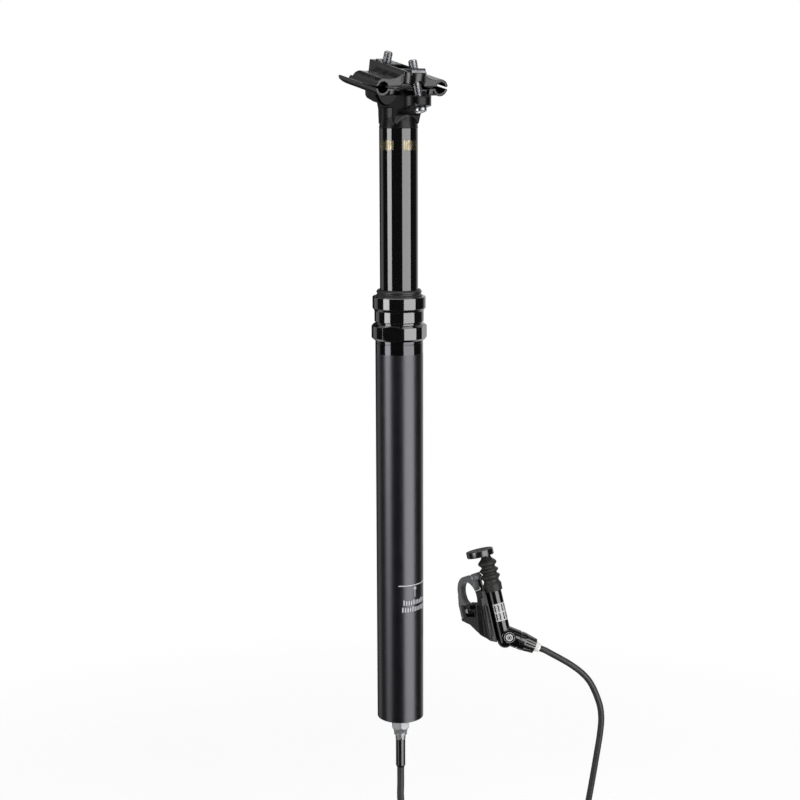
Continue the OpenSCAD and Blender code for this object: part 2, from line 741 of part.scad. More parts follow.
module master_piston() {
    color("#8f9296") remote_frame() translate([0, 0, piston2_w]) difference() {
        cylinder(d = barrel_bore - 2 * running, h = 8);
        translate([0, 0, 2.4]) ring(barrel_bore + 2, barrel_bore - 2.6, 2.2);
        translate([0, 0, 6]) cylinder(d = rod2_d + 2 * press, h = 4);
    }
}

module master_seal() {
    color("#202022") remote_frame() translate([0, 0, piston2_w + 2.5])
        ring(barrel_bore - 2 * running, barrel_bore - 2.6 + 2 * press, 2);
}

// Return spring below the master piston: real curls of wire
module return_spring() {
    wire = 0.9;
    curls = 6;
    low = 6.6 + wire / 2;
    high = piston2_w - wire / 2 - 0.15;
    mid_r = barrel_bore / 2 - wire / 2 - 0.4;
    color("#a9acb0") remote_frame() sweep_tube([for (i = [0 : curls * 8])
        [mid_r * cos(45 * i), mid_r * sin(45 * i), low + (high - low) * i / (curls * 8)]], wire / 2, 6, [0, 0, 1]);
}

// A height on the folds of the boot, as a share of their length above the cup
function fold(u) = cup_h + u * boot_len;

// Rubber boot: a cup on the barrel, and folds up to the button's rod
module bellows() {
    r = barrel_r;
    color("#2b2c2e") remote_frame() translate([0, 0, cup_low]) rotate_extrude() polygon([
        [r + seat_gap, 0], [r + 1.2, 0], [r + 1.4, cup_h], [r - 0.1, fold(0.138)], [r + 1.8, fold(0.284)],
        [r - 0.3, fold(0.394)], [r + 1.6, fold(0.514)], [r - 0.6, fold(0.633)], [r + 1.5, fold(0.78)],
        [r - 1.4, fold(0.936)], [r - 2.2, fold(1)], [rod2_d / 2 + 0.5, fold(1)], [rod2_d / 2 + 0.5, fold(0.908)],
        [r + 0.6, fold(0.78)], [r - 1.5, fold(0.633)], [r + 0.7, fold(0.514)], [r - 1.2, fold(0.394)],
        [r + 0.9, fold(0.284)], [r - 1.1, fold(0.138)], [r - 0.6, fold(0.018)], [r + seat_gap, fold(0.018)]]);
}

// Extrudes an outline drawn across the handlebar, from x0 to x1 along the bar
module across_bar(x0, x1) {
    translate([x0, 0, 0]) rotate([90, 0, 90]) linear_extrude(x1 - x0) children();
}

// Half shell behind the barrel, the jaw under the handlebar, and the ear of the strap's hinge
module bracket() {
    color("#3b3d40") remote_frame() difference() {
        intersection() {
            union() {
                translate([0, 0, -6]) cylinder(d = barrel_d + 4, h = barrel_len);
                translate([0, 0, -6]) linear_extrude(barrel_len - 2) polygon(spine_outline);
                bar_frame() {
                    difference() {
                        across_bar(0, jaw_w) polygon(concat([[tail_q - seat_gap, -6], [tail_q - seat_gap, -17],
                            [tail_q + tail_t + 0.4, -18.9], [tail_q + tail_t + 0.4, -21]], jaw_outline));
                        translate([-1, -2, bolt_w - 4.3]) cube([9, bolt_q + 2, 20]);
                    }
                    across_bar(0, jaw_w) intersection() {
                        circle(d = bar_d + 4.4);
                        translate([-30, -30]) square([60, 30]);
                    }
                    across_bar(strap_w + seat_gap, eye_end) {
                        translate([hinge_q, hinge_w]) circle(d = eye_d);
                        polygon([[hinge_q - 3, hinge_w], [hinge_q + 2, hinge_w - 1], [hinge_q + 3, 0],
                            [hinge_q - 8, 0]]);
                    }
                }
            }
            translate([0, 40, 0]) rotate([90, 0, 0]) linear_extrude(80) polygon(foot_outline);
        }
        translate([0, 0, -20]) cylinder(d = barrel_d + 2 * press, h = 100);
        translate([-barrel_r - 0.3, -30, -20]) cube([60, 30, 100]);
        translate([2, -30, -20]) cube([60, 60, 100]);
        bar_frame() {
            rod_x(bar_d, 60);
            for (x = [-30, jaw_w + 30]) translate([x, 0, 0]) rod_x(bar_d + 2 * seat_gap, 60);
            strap_space();
            translate([-10, hinge_q, hinge_w]) rotate([0, 90, 0]) cylinder(d = pin_d + 2 * press, h = 40);
            bolt_line() translate([0, 0, -5]) cylinder(d = strap_screw_d + 2 * press, h = 30);
            bolt_line() translate([0, 0, -12]) cylinder(d = screw_head_d + 0.8, h = 12);
        }
        translate([0, 0, barrel_len - 6]) cylinder(d = barrel_d + 4.4, h = 40);
        knob_frame() translate([0, 0, -8]) cylinder(d = 2 * elbow_r + 0.1, h = 40);
        translate([elbow_at[0], 0, 0]) rotate([-90, 0, 0]) cylinder(d = 8, h = 30);
    }
}

// Room for the strap in the bracket
module strap_space() {
    across_bar(-1, strap_w + seat_gap) polygon([[hinge_q - 6, hinge_w - 6], [hinge_q + 4, 2], [5, 0],
        [5, split_w], [40, split_w], [40, 50], [hinge_q - 6, 50]]);
    across_bar(-1, jaw_w + 1) polygon([[5, split_w], [40, split_w], [40, 50], [5, 50]]);
    across_bar(-1, jaw_w + 1) polygon([[tail_q - seat_gap, tail_end - seat_gap], [40, tail_end - seat_gap],
        [40, 0], [tail_q - seat_gap, 0]]);
}

// Moves to the strap's screw: Z points away from the barrel
module bolt_line() {
    translate([jaw_w / 2 - 2, bolt_q, bolt_w]) rotate([-90, 0, 0]) children();
}

// Hinged strap over the handlebar. Its tail is a fork, open below, that hooks over the screw
module strap() {
    strap_r = bar_d / 2 + strap_t;
    color("#55585b") remote_frame() bar_frame() difference() {
        union() {
            across_bar(0, strap_w) {
                intersection() {
                    circle(r = strap_r);
                    polygon([[hinge_q + 1, 4], [hinge_q + 1, 40], [40, 40], [40, split_w + seat_gap],
                        [5, split_w + seat_gap], [5, 4]]);
                }
                translate([hinge_q, hinge_w]) circle(d = eye_d);
                polygon([[hinge_q - 1, hinge_w - 2.6], [hinge_q, hinge_w + 3], [-4, 15], [-6, 10]]);
                polygon([[tail_q, tail_end], [tail_q + tail_t, tail_end], [tail_q + tail_t, -8], [strap_r + 0.6, 0],
                    [strap_r - 2, 2], [12, split_w + seat_gap], [tail_q, split_w + seat_gap]]);
            }
            across_bar(strap_w - 1, jaw_w - 2) polygon([[tail_q, tail_end], [tail_q + tail_t, tail_end],
                [tail_q + tail_t, split_w + 1], [tail_q, split_w + 1]]);
        }
        rod_x(bar_d, 60);
        translate([-10, hinge_q, hinge_w]) rotate([0, 90, 0]) cylinder(d = pin_d + 2 * running, h = 40);
        bolt_line() cylinder(d = strap_screw_d + 2 * loose, h = 30);
        across_bar(jaw_w / 2 - 2 - strap_screw_d / 2 - loose, jaw_w / 2 - 2 + strap_screw_d / 2 + loose)
            polygon([[tail_q - 1, bolt_w], [40, bolt_w], [40, -40], [tail_q - 1, -40]]);
    }
}

module hinge_pin() {
    color("#c1c4c8") remote_frame() bar_frame() translate([-0.4, hinge_q, hinge_w]) rotate([0, 90, 0])
        cylinder(d = pin_d, h = eye_end + 0.4);
}

module strap_bolt() {
    color("#c7cace") remote_frame() bar_frame() bolt_line() difference() {
        union() {
            translate([0, 0, -3.4]) cylinder(d = screw_head_d, h = 3.4);
            cylinder(d = strap_screw_d, h = tail_q + 4 - bolt_q);
        }
        translate([0, 0, -4]) cylinder(d = 3.4, h = 2.6, $fn = 6);
    }
}

// The hose's put-away coil spirals in on one layer, climbs, and spirals out on the next
coil_pitch = hose_d + coil_gap;
coil_turns = coil_loops - 0.5;
coil_steps = round(coil_turns * coil_rings);
coil_out_r = coil_low_r + coil_pitch * coil_turns / 2;

// Share of the climb between the layers, spread over half a turn
function climb(t) = let (u = min(1, max(-1, t / 0.25))) u * (3 - u * u) / 2;
function coil_point(i) = let (t = (i - coil_steps / 2) / coil_rings, r = coil_low_r + coil_pitch * abs(t),
    a = 180 + 360 * i / coil_rings) [r * cos(a), climb(t) * coil_pitch / 2, r * sin(a)];
coil_winding = [for (i = [0 : coil_steps]) coil_point(i)];
coil_in = coil_winding[0];
coil_out = coil_winding[coil_steps];
coil_path = concat([coil_in + [0, 0, coil_lead]], coil_winding, [coil_out + [0, 0, coil_lead]]);
coil_self_gap = min([for (i = [0 : coil_steps], j = [i + 12 : 1 : coil_steps])
    norm(coil_winding[i] - coil_winding[j])]) - hose_d;
function coil_to_plane(p) = coil_at + [p[0] * cos(coil_turn) - p[1] * sin(coil_turn),
    p[0] * sin(coil_turn) + p[1] * cos(coil_turn), p[2]];
coil_start = coil_to_plane(coil_path[0]);
coil_end = coil_to_plane(coil_path[len(coil_path) - 1]);

// The hose's start at the ferrule, from the remote's own frame
knob_way = [cos(elbow_drop), 0, -sin(elbow_drop)];
function lean(p) = [p[0] * cos(remote_lean) + p[2] * sin(remote_lean), p[1],
    -p[0] * sin(remote_lean) + p[2] * cos(remote_lean)];
function back(p) = [p[0], p[1] * cos(remote_back) - p[2] * sin(remote_back),
    p[1] * sin(remote_back) + p[2] * cos(remote_back)];
hose_way = back(lean(knob_way));
hose_start = remote_at + back(lean(elbow_at + (elbow_len + knob_len + ferrule_len) * knob_way));
post_path = concat([[0, 0, hose_exit]], smooth(concat(post_points, [coil_start + [0, 0, hose_d]]), 2),
    [coil_start]);
remote_path = concat([hose_start], smooth(concat([hose_start + hose_d * hose_way], remote_points,
    [coil_end + [0, 0, hose_d]]), 2), [coil_end]);
function path_len(p, i = 0) = i > len(p) - 2 ? 0 : norm(p[i + 1] - p[i]) + path_len(p, i + 1);

module hose_post_run() {
    color("#303235") photo_plane() sweep_tube(post_path, hose_d / 2, run_sides);
}

module hose_remote_run() {
    color("#303235") photo_plane() sweep_tube(remote_path, hose_d / 2, run_sides);
}

module hose_coil() {
    echo(least_gap_of_coil_to_itself = coil_self_gap, hose_length = path_len(post_path) + path_len(coil_path)
        + path_len(remote_path), rings = len(post_path) + len(remote_path));
    color("#303235") photo_plane() translate(coil_at) rotate([0, 0, coil_turn])
        sweep_tube(coil_path, hose_d / 2, coil_sides);
}

// Strap that ties the coil, round every turn at its lowest point
module coil_tie() {
    low = coil_out_r - coil_pitch / 4 + hose_d / 2 + seat_gap;
    high = coil_low_r + coil_pitch / 2 - hose_d / 2 - seat_gap - 0.3;
    half = coil_pitch / 2 + hose_d / 2 + seat_gap;
    color("#1c1d1f") photo_plane() translate(coil_at) rotate([90, 0, 90 + coil_turn]) translate([0, 0, -tie_w / 2])
        linear_extrude(tie_w) difference() {
            tie_outline(low + tie_t, high - tie_t, half + tie_t, 3);
            tie_outline(low, high, half, 1.8);
        }
}

// Oblong with cut corners, from the far side to the near side of the coil's bundle
module tie_outline(low, high, half, c) {
    polygon([[-half + c, -low], [half - c, -low], [half, -low + c], [half, -high - c], [half - c, -high],
        [-half + c, -high], [-half, -high - c], [-half, -low + c]]);
}

outer_tube();
base_plug();
base_seal_ring();
hose_nut();
hose_barb_ring();
hose_sleeve();
collar();
upper_bushing();
shaft_seal();
dust_wiper();
piston_rod();
main_piston();
piston_seal();
poppet_valve();
upper_tube();
seal_head();
rod_seal();
top_out_bumper();
lower_bushing();
guide_key_a();
guide_key_b();
guide_key_c();
floating_piston();
floating_piston_seal();
head();
air_valve();
valve_cap();
lower_cradle();
upper_clamp();
front_nut();
rear_nut();
front_bolt();
rear_bolt();
front_washer();
rear_washer();
remote_barrel();
bleed_screw();
elbow_plug();
hose_ferrule();
speed_knob();
thumb_button();
master_rod();
master_piston();
master_seal();
return_spring();
bellows();
bracket();
strap();
hinge_pin();
strap_bolt();
hose_post_run();
hose_coil();
hose_remote_run();
coil_tie();
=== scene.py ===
import math

import bmesh
import bpy
from mathutils import Matrix, Vector


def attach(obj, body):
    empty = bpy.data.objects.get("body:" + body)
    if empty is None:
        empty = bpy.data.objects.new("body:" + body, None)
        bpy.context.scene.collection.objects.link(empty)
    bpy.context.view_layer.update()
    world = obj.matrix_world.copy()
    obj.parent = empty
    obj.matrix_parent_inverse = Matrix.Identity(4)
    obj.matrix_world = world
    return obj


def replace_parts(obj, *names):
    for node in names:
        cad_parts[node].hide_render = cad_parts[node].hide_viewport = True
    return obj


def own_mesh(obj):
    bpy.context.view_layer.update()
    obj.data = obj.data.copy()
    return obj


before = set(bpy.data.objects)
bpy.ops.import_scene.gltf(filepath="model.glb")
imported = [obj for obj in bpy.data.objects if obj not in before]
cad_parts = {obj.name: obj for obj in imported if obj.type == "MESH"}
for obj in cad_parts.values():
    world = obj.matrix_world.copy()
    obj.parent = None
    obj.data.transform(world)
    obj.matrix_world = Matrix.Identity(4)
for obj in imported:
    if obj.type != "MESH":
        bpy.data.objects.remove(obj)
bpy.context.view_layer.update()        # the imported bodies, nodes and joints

# Dropper seatpost: sliding shaft in an outer tube, saddle clamp on top, hose out of the foot,
# and the thumb remote that the hose ends in. Everything is in metres, +Z up the post.

millimetre = 0.001
scene = bpy.context.scene
scene.view_settings.view_transform = "Standard"


def turn(axis, degrees):
    return Matrix.Rotation(math.radians(degrees), 4, axis)


def shift(x, y, z):
    return Matrix.Translation(Vector((x, y, z)) * millimetre)


# the same driving sizes as the CAD, in mm
layout = {
    "tubeRadius": 15.8,        # outer tube
    "shaftRadius": 12.5,       # sliding shaft
    "shaftTop": 398.2,
    "bearing": -34,            # the photograph's plane, turned about the post
    "remoteAt": (82, 150, 2.4),
    "remoteBack": -9.5,        # degrees
    "remoteLean": -12.8,
    "barrelRadius": 6,
    "elbowAt": (3.5, 0, 0),
    "elbowDrop": 34.8,
    "elbowLength": 8.2,
    "knobLength": 14.2,
    "ferruleLength": 4,
}
photoPlane = turn("Z", layout["bearing"])
remoteFrame = (photoPlane @ shift(*layout["remoteAt"]) @ turn("X", layout["remoteBack"])
               @ turn("Y", layout["remoteLean"]))
knobFrame = remoteFrame @ shift(*layout["elbowAt"]) @ turn("Y", 90 + layout["elbowDrop"])

cameraView = {
    "distance": 0.978,         # level distance from the post's axis
    "height": 0.4047,          # above the outer tube's foot
    "pitchDown": 10.65,
    "roll": -0.193,
    "sensor": 36,
    "lens": 67.5,
    "shiftX": 0.0007,
    "clip": (0.05, 50),
}


def makeCamera(look):
    camera = bpy.data.objects.new("photoCamera", bpy.data.cameras.new("photoCamera"))
    scene.collection.objects.link(camera)
    camera.data.sensor_width = look["sensor"]
    camera.data.lens = look["lens"]
    camera.data.shift_x = look["shiftX"]
    camera.data.clip_start, camera.data.clip_end = look["clip"]
    stand = photoPlane @ Matrix.Translation((0, -look["distance"], look["height"]))
    camera.matrix_world = stand @ turn("X", 90 - look["pitchDown"]) @ turn("Z", look["roll"])
    scene.camera = camera


makeCamera(cameraView)
print("camera made")


def linearColour(tone):
    # 0-255 as a picture shows it, to Blender's linear colour
    parts = [part / 255 for part in tone]
    return [part / 12.92 if part <= 0.04045 else ((part + 0.055) / 1.055) ** 2.4 for part in parts] + [1]


def addNode(tree, kind, **settings):
    node = tree.nodes.new("ShaderNode" + kind)
    for key, value in settings.items():
        setattr(node, key, value)
    return node


def mapRange(tree, value, start, end, low, high, kind="LINEAR"):
    # leads a value from start and end onto low and high
    node = addNode(tree, "MapRange", interpolation_type=kind)
    for index, number in enumerate((start, end, low, high)):
        node.inputs[index + 1].default_value = number
    tree.links.new(value, node.inputs[0])
    return node.outputs[0]


class NodeBench:
    # lays out the nodes of one material

    def __init__(self, name):
        self.material = bpy.data.materials.new(name)
        self.material.use_nodes = True
        self.tree = self.material.node_tree
        self.shader = self.tree.nodes["Principled BSDF"]
        self.place = self.add("TexCoord").outputs["Object"]

    def add(self, kind, **settings):
        return addNode(self.tree, kind, **settings)

    def wire(self, source, target):
        self.tree.links.new(source, target)

    def math(self, operation, first, second, clamp=False):
        node = self.add("Math", operation=operation, use_clamp=clamp)
        for socket, value in zip(node.inputs, (first, second)):
            if isinstance(value, (int, float)):
                socket.default_value = value
            else:
                self.wire(value, socket)
        return node.outputs[0]

    def mixColour(self, share, first, second):
        node = self.add("Mix", data_type="RGBA")
        self.wire(share, node.inputs[0])
        for index, value in ((6, first), (7, second)):
            if isinstance(value, list):
                node.inputs[index].default_value = value
            else:
                self.wire(value, node.inputs[index])
        return node.outputs[2]

    def noise(self, size, stretch=(1, 1, 1), detail=3):
        # size in mm of one blot, stretched along the axes
        mapping = self.add("Mapping")
        mapping.inputs["Scale"].default_value = [1 / (size * millimetre * part) for part in stretch]
        self.wire(self.place, mapping.inputs["Vector"])
        noise = self.add("TexNoise")
        noise.inputs["Scale"].default_value = 1
        noise.inputs["Detail"].default_value = detail
        self.wire(mapping.outputs["Vector"], noise.inputs["Vector"])
        return noise.outputs["Fac"]

    def spread(self, value, low, high, fromLow=0.3, fromHigh=0.7):
        # a value's middle range, led onto low to high
        return mapRange(self.tree, value, fromLow, fromHigh, low, high)


# lighter edges, partly wear and partly painted highlight: how well the bevel agrees with the face where it is
# full and where it ends, and its scuffs, in mm
edgeWearAndHighlight = {
    "full": 0.86,
    "none": 0.985,
    "scuff": 1.4,
    "leastScuff": 0.2,
    "scuffRange": (0.35, 0.65),
}


def makeFinish(name, look):
    bench = NodeBench(name)
    shader = bench.shader
    stretch = look.get("stretch", (1, 1, 1))
    patches = bench.noise(look["patch"], stretch, detail=4)
    grain = bench.noise(look["grain"], stretch, detail=2)
    colour = bench.mixColour(bench.spread(patches, 0, 1), linearColour(look["tone"]),
                             linearColour(look["otherTone"]))
    rough = look["rough"]
    spreadBy = look.get("roughSpread", 0.04)
    roughness = bench.spread(patches, rough - spreadBy, rough + spreadBy)
    fineSpread = bench.spread(grain, -spreadBy / 2, spreadBy / 2)
    roughness = bench.math("ADD", roughness, fineSpread, clamp=True)
    edge = bench.add("Bevel", samples=4)
    edge.inputs["Radius"].default_value = look["edge"] * millimetre
    if look.get("wearAndHighlight"):
        # the finish thins where the bevel turns away from the face, and its lighter tone there is partly a
        # painted edge highlight
        facing = bench.add("VectorMath", operation="DOT_PRODUCT")
        bench.wire(edge.outputs[0], facing.inputs[0])
        bench.wire(bench.add("NewGeometry").outputs["Normal"], facing.inputs[1])
        wornAndHighlit = bench.spread(facing.outputs["Value"], look["wearAndHighlight"], 0, edgeWearAndHighlight["full"], edgeWearAndHighlight["none"])
        scuffs = bench.spread(bench.noise(edgeWearAndHighlight["scuff"]), edgeWearAndHighlight["leastScuff"], 1,
                              *edgeWearAndHighlight["scuffRange"])
        wornAndHighlit = bench.math("MULTIPLY", wornAndHighlit, scuffs, clamp=True)
        colour = bench.mixColour(wornAndHighlit, colour, linearColour(look["wornAndHighlightTone"]))
    if look.get("glossAbove"):
        # polished band above a height in mm, as turned on the tube's top
        heights = bench.add("SeparateXYZ")
        bench.wire(bench.place, heights.inputs[0])
        polished = bench.math("GREATER_THAN", heights.outputs["Z"], look["glossAbove"] * millimetre)
        colour = bench.mixColour(polished, colour, linearColour(look["glossTone"]))
        swap = bench.add("Mix", data_type="FLOAT")
        bench.wire(polished, swap.inputs[0])
        bench.wire(roughness, swap.inputs[2])
        swap.inputs[3].default_value = look["glossRough"]
        roughness = swap.outputs[0]
    bump = bench.add("Bump")
    bump.inputs["Distance"].default_value = look["relief"] * millimetre
    bench.wire(grain, bump.inputs["Height"])
    bench.wire(edge.outputs[0], bump.inputs["Normal"])
    bench.wire(colour, shader.inputs["Base Color"])
    bench.wire(roughness, shader.inputs["Roughness"])
    bench.wire(bump.outputs[0], shader.inputs["Normal"])
    shader.inputs["Metallic"].default_value = look.get("metal", 0)
    shader.inputs["IOR"].default_value = look.get("ior", 1.5)
    shader.inputs["Specular Tint"].default_value = (*look.get("tint", (1, 1, 1)), 1)
    return bench.material


# one row for each finish, by its slot or its own name: tones as 0-255, sizes in mm
finishLooks = {
    "satin_tube": {"tone": (4, 4, 7), "otherTone": (7, 7, 11), "rough": 0.31, "roughSpread": 0.015,
                   "ior": 1.74, "tint": (0.93, 0.92, 1), "patch": 9, "grain": 0.35, "relief": 0.0025,
                   "edge": 0.3, "glossAbove": 252.9, "glossTone": (3, 3, 4), "glossRough": 0.09},
    "collar_grey": {"tone": (2, 2, 2), "otherTone": (4, 4, 4), "rough": 0.06, "roughSpread": 0.015,
                    "ior": 2.0, "patch": 6, "grain": 0.8, "relief": 0.0006, "edge": 0.4, "wearAndHighlight": 0.25,
                    "wornAndHighlightTone": (120, 121, 124)},
    "gloss_black": {"tone": (4, 4, 4), "otherTone": (6, 6, 6), "rough": 0.06, "roughSpread": 0.015,
                    "ior": 1.76, "patch": 12, "grain": 0.6, "stretch": (1, 1, 12), "relief": 0.0004,
                    "edge": 0.25},
    "forged_black": {"tone": (3, 3, 4), "otherTone": (6, 6, 7), "rough": 0.27, "roughSpread": 0.05,
                     "ior": 1.6, "patch": 5, "grain": 0.45, "relief": 0.003, "edge": 0.5, "wearAndHighlight": 0.75,
                     "wornAndHighlightTone": (140, 141, 144)},
    # the head's own copy of the forged black, less shiny so that its faces read darker: painted shade
    "shadedHeadBlack": {"tone": (3, 3, 4), "otherTone": (5, 5, 6), "rough": 0.3, "roughSpread": 0.05, "ior": 1.33,
                  "patch": 5, "grain": 0.45, "relief": 0.003, "edge": 0.5, "wearAndHighlight": 0.75,
                  "wornAndHighlightTone": (140, 141, 144)},
    # a lighter copy of dark steel for the clamp bolts: painted highlight on their threads
    "litBoltSteel": {"tone": (166, 167, 170), "otherTone": (132, 133, 136), "rough": 0.28, "metal": 1,
                  "patch": 2.5, "grain": 0.35, "relief": 0.003, "edge": 0.12},
    "bare_aluminium": {"tone": (196, 198, 202), "otherTone": (176, 178, 183), "rough": 0.24, "metal": 1,
                       "patch": 3, "grain": 0.4, "stretch": (4, 4, 0.3), "relief": 0.002, "edge": 0.2},
    "gold_aluminium": {"tone": (136, 129, 110), "otherTone": (108, 97, 72), "rough": 0.26, "metal": 1,
                       "patch": 2, "grain": 0.3, "relief": 0.002, "edge": 0.1},
    "bright_steel": {"tone": (205, 206, 210), "otherTone": (182, 184, 189), "rough": 0.2, "metal": 1,
                     "patch": 3, "grain": 0.4, "relief": 0.002, "edge": 0.15},
    "nutSteel": {"tone": (160, 161, 163), "otherTone": (144, 145, 148), "rough": 0.36, "metal": 0.7,
                 "patch": 3, "grain": 0.4, "relief": 0.002, "edge": 0.3},
    "turnedSteel": {"tone": (150, 151, 153), "otherTone": (132, 133, 136), "rough": 0.4, "metal": 0.7,
                    "patch": 2, "grain": 0.3, "relief": 0.002, "edge": 0.15},
    "dark_steel": {"tone": (122, 123, 126), "otherTone": (92, 93, 96), "rough": 0.32, "metal": 1,
                   "patch": 2.5, "grain": 0.35, "relief": 0.004, "edge": 0.2, "wearAndHighlight": 0.5,
                   "wornAndHighlightTone": (170, 171, 174)},
    "brass": {"tone": (196, 158, 84), "otherTone": (168, 130, 62), "rough": 0.28, "metal": 1, "patch": 2,
              "grain": 0.4, "relief": 0.002, "edge": 0.15},
    "rubber_black": {"tone": (18, 18, 19), "otherTone": (25, 25, 26), "rough": 0.42, "roughSpread": 0.08,
                     "patch": 4, "grain": 0.3, "relief": 0.012, "edge": 0.2},
    "rubber_boot": {"tone": (32, 32, 31), "otherTone": (40, 40, 38), "rough": 0.5, "roughSpread": 0.07,
                    "ior": 1.4, "patch": 3.5, "grain": 0.28, "relief": 0.008, "edge": 0.35},
    "rubber_red": {"tone": (122, 44, 38), "otherTone": (98, 34, 30), "rough": 0.6, "patch": 4, "grain": 0.3,
                   "relief": 0.012, "edge": 0.2},
    "bushing_brown": {"tone": (134, 98, 56), "otherTone": (112, 80, 44), "rough": 0.5, "patch": 3,
                      "grain": 0.25, "relief": 0.006, "edge": 0.15},
    "black_plastic": {"tone": (5, 5, 6), "otherTone": (9, 9, 10), "rough": 0.2, "roughSpread": 0.03,
                      "ior": 1.8, "patch": 4, "grain": 0.4, "relief": 0.002, "edge": 0.3},
    "grey_plastic": {"tone": (15, 15, 15), "otherTone": (21, 21, 21), "rough": 0.3, "roughSpread": 0.05,
                     "ior": 1.42, "patch": 4, "grain": 0.3, "relief": 0.005, "edge": 0.45, "wearAndHighlight": 0.5,
                     "wornAndHighlightTone": (112, 113, 114)},
    "strap_grey": {"tone": (80, 81, 83), "otherTone": (90, 91, 93), "rough": 0.42, "roughSpread": 0.05,
                   "patch": 4, "grain": 0.3, "relief": 0.01, "edge": 0.4},
    "white_plastic": {"tone": (222, 221, 216), "otherTone": (206, 205, 199), "rough": 0.35, "patch": 2,
                      "grain": 0.3, "relief": 0.003, "edge": 0.2},
    "printSilver": {"tone": (176, 176, 177), "otherTone": (160, 160, 162), "rough": 0.4, "patch": 1.5,
                    "grain": 0.3, "relief": 0.002, "edge": 0.1},
    "printGrey": {"tone": (178, 178, 181), "otherTone": (158, 158, 161), "rough": 0.5, "patch": 1.2,
                  "grain": 0.3, "relief": 0.002, "edge": 0.1},
    "hose_grey": {"tone": (40, 40, 40), "otherTone": (47, 47, 46), "rough": 0.42, "roughSpread": 0.05,
                  "ior": 1.45, "patch": 7, "grain": 0.35, "relief": 0.006, "edge": 0.1},
}
finishes = {slot: makeFinish(slot, look) for slot, look in finishLooks.items()}


def dressNodes():
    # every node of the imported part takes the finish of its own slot, or one of its own
    ownFinish = {"hose_nut": "nutSteel", "hose_barb_ring": "turnedSteel"}
    for name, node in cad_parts.items():
        for place in node.material_slots:
            slot = place.material.name.split(".")[0]
            place.material = finishes[ownFinish.get(name, slot)]


dressNodes()
print("finishes made:", len(finishes))


def addPiece(name, mesh, slot, body, smoothAngle=40, finish=None):
    piece = bpy.data.objects.new(name, mesh)
    scene.collection.objects.link(piece)
    mesh.materials.clear()
    mesh.materials.append(finishes[finish or slot])
    shadeByAngle(mesh, smoothAngle)
    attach(piece, body)
    return piece


def shadeByAngle(mesh, degrees):
    mesh.polygons.foreach_set("use_smooth", [True] * len(mesh.polygons))
    mesh.update()
    mesh.set_sharp_from_angle(angle=math.radians(degrees))


def tidyMesh(mesh):
    work = bmesh.new()
    work.from_mesh(mesh)
    bmesh.ops.remove_doubles(work, verts=work.verts, dist=1e-7)
    bmesh.ops.recalc_face_normals(work, faces=work.faces)
    work.to_mesh(mesh)
    work.free()


def joinedMesh(name, parts):
    # one mesh of several, which are used up
    joined = bmesh.new()
    for part in parts:
        joined.from_mesh(part)
        bpy.data.meshes.remove(part)
    mesh = bpy.data.meshes.new(name)
    joined.to_mesh(mesh)
    joined.free()
    return mesh


def latheMesh(name, outline, place, segments=72):
    # turns a closed outline of (radius, height) in mm about Z
    points, faces = [], []
    count = len(outline)
    for step in range(segments):
        angle = 2 * math.pi * step / segments
        for radius, height in outline:
            points.append(Vector((radius * math.cos(angle), radius * math.sin(angle), height)) * millimetre)
    for step in range(segments):
        near, far = step * count, (step + 1) % segments * count
        for k in range(count):
            faces.append((near + k, far + k, far + (k + 1) % count, near + (k + 1) % count))
    mesh = bpy.data.meshes.new(name)
    mesh.from_pydata(points, [], faces)
    mesh.transform(place)
    tidyMesh(mesh)
    return mesh


def skinMesh(name, rings, place):
    # closed skin over rings of equal count, in mm, with a point at the middle of each end
    count = len(rings[0])
    points = [Vector(point) * millimetre for ring in rings for point in ring]
    faces = []
    for k in range(len(rings) - 1):
        for side in range(count):
            a, b = k * count + side, k * count + (side + 1) % count
            faces.append((a, b, b + count, a + count))
    for start, flip in ((0, True), ((len(rings) - 1) * count, False)):
        middle = sum((points[start + side] for side in range(count)), Vector()) / count
        points.append(middle)
        for side in range(count):
            face = (start + side, start + (side + 1) % count, len(points) - 1)
            faces.append(face[::-1] if flip else face)
    mesh = bpy.data.meshes.new(name)
    mesh.from_pydata(points, [], faces)
    mesh.transform(place)
    tidyMesh(mesh)
    return mesh


def smoothRun(points, steps):
    # cubic blend through points, the same as the CAD's
    def at(k):
        if k < 0:
            return 2 * points[0] - points[1]
        if k > len(points) - 1:
            return 2 * points[-1] - points[-2]
        return points[k]
    run = []
    for k in range(len(points) - 1):
        a, b, c, d = at(k - 1), at(k), at(k + 1), at(k + 2)
        for step in range(steps):
            t = step / steps
            run.append(0.5 * (2 * b + (c - a) * t + (2 * a - 5 * b + 4 * c - d) * t * t
                              + (3 * b - a - 3 * c + d) * t ** 3))
    return run + [points[-1]]


# printed marks, in mm
printing = {
    "film": 0.03,              # thickness
    "bedding": 0.005,          # how far a mark is let into its surface
    "columnAngle": 4,          # degrees that one flat column of it spans
}


def wrappedPatch(radius, angles, heights, place):
    # a printed mark on a cylinder: two angles in degrees about Z, two heights in mm
    outer = radius + printing["film"]
    columns = max(2, round(abs(angles[1] - angles[0]) / printing["columnAngle"]))
    work = bmesh.new()
    corners = []
    for k in range(columns + 1):
        angle = math.radians(angles[0] + (angles[1] - angles[0]) * k / columns)
        row = []
        for r, z in ((radius, heights[0]), (radius, heights[1]), (outer, heights[1]), (outer, heights[0])):
            point = Vector((r * math.cos(angle), r * math.sin(angle), z)) * millimetre
            row.append(work.verts.new(place @ point))
        corners.append(row)
    for near, far in zip(corners, corners[1:]):
        for side in range(4):
            work.faces.new((near[side], far[side], far[(side + 1) % 4], near[(side + 1) % 4]))
    work.faces.new(corners[0])
    work.faces.new(corners[-1][::-1])
    bmesh.ops.recalc_face_normals(work, faces=work.faces)
    mesh = bpy.data.meshes.new("patch")
    work.to_mesh(mesh)
    work.free()
    return mesh


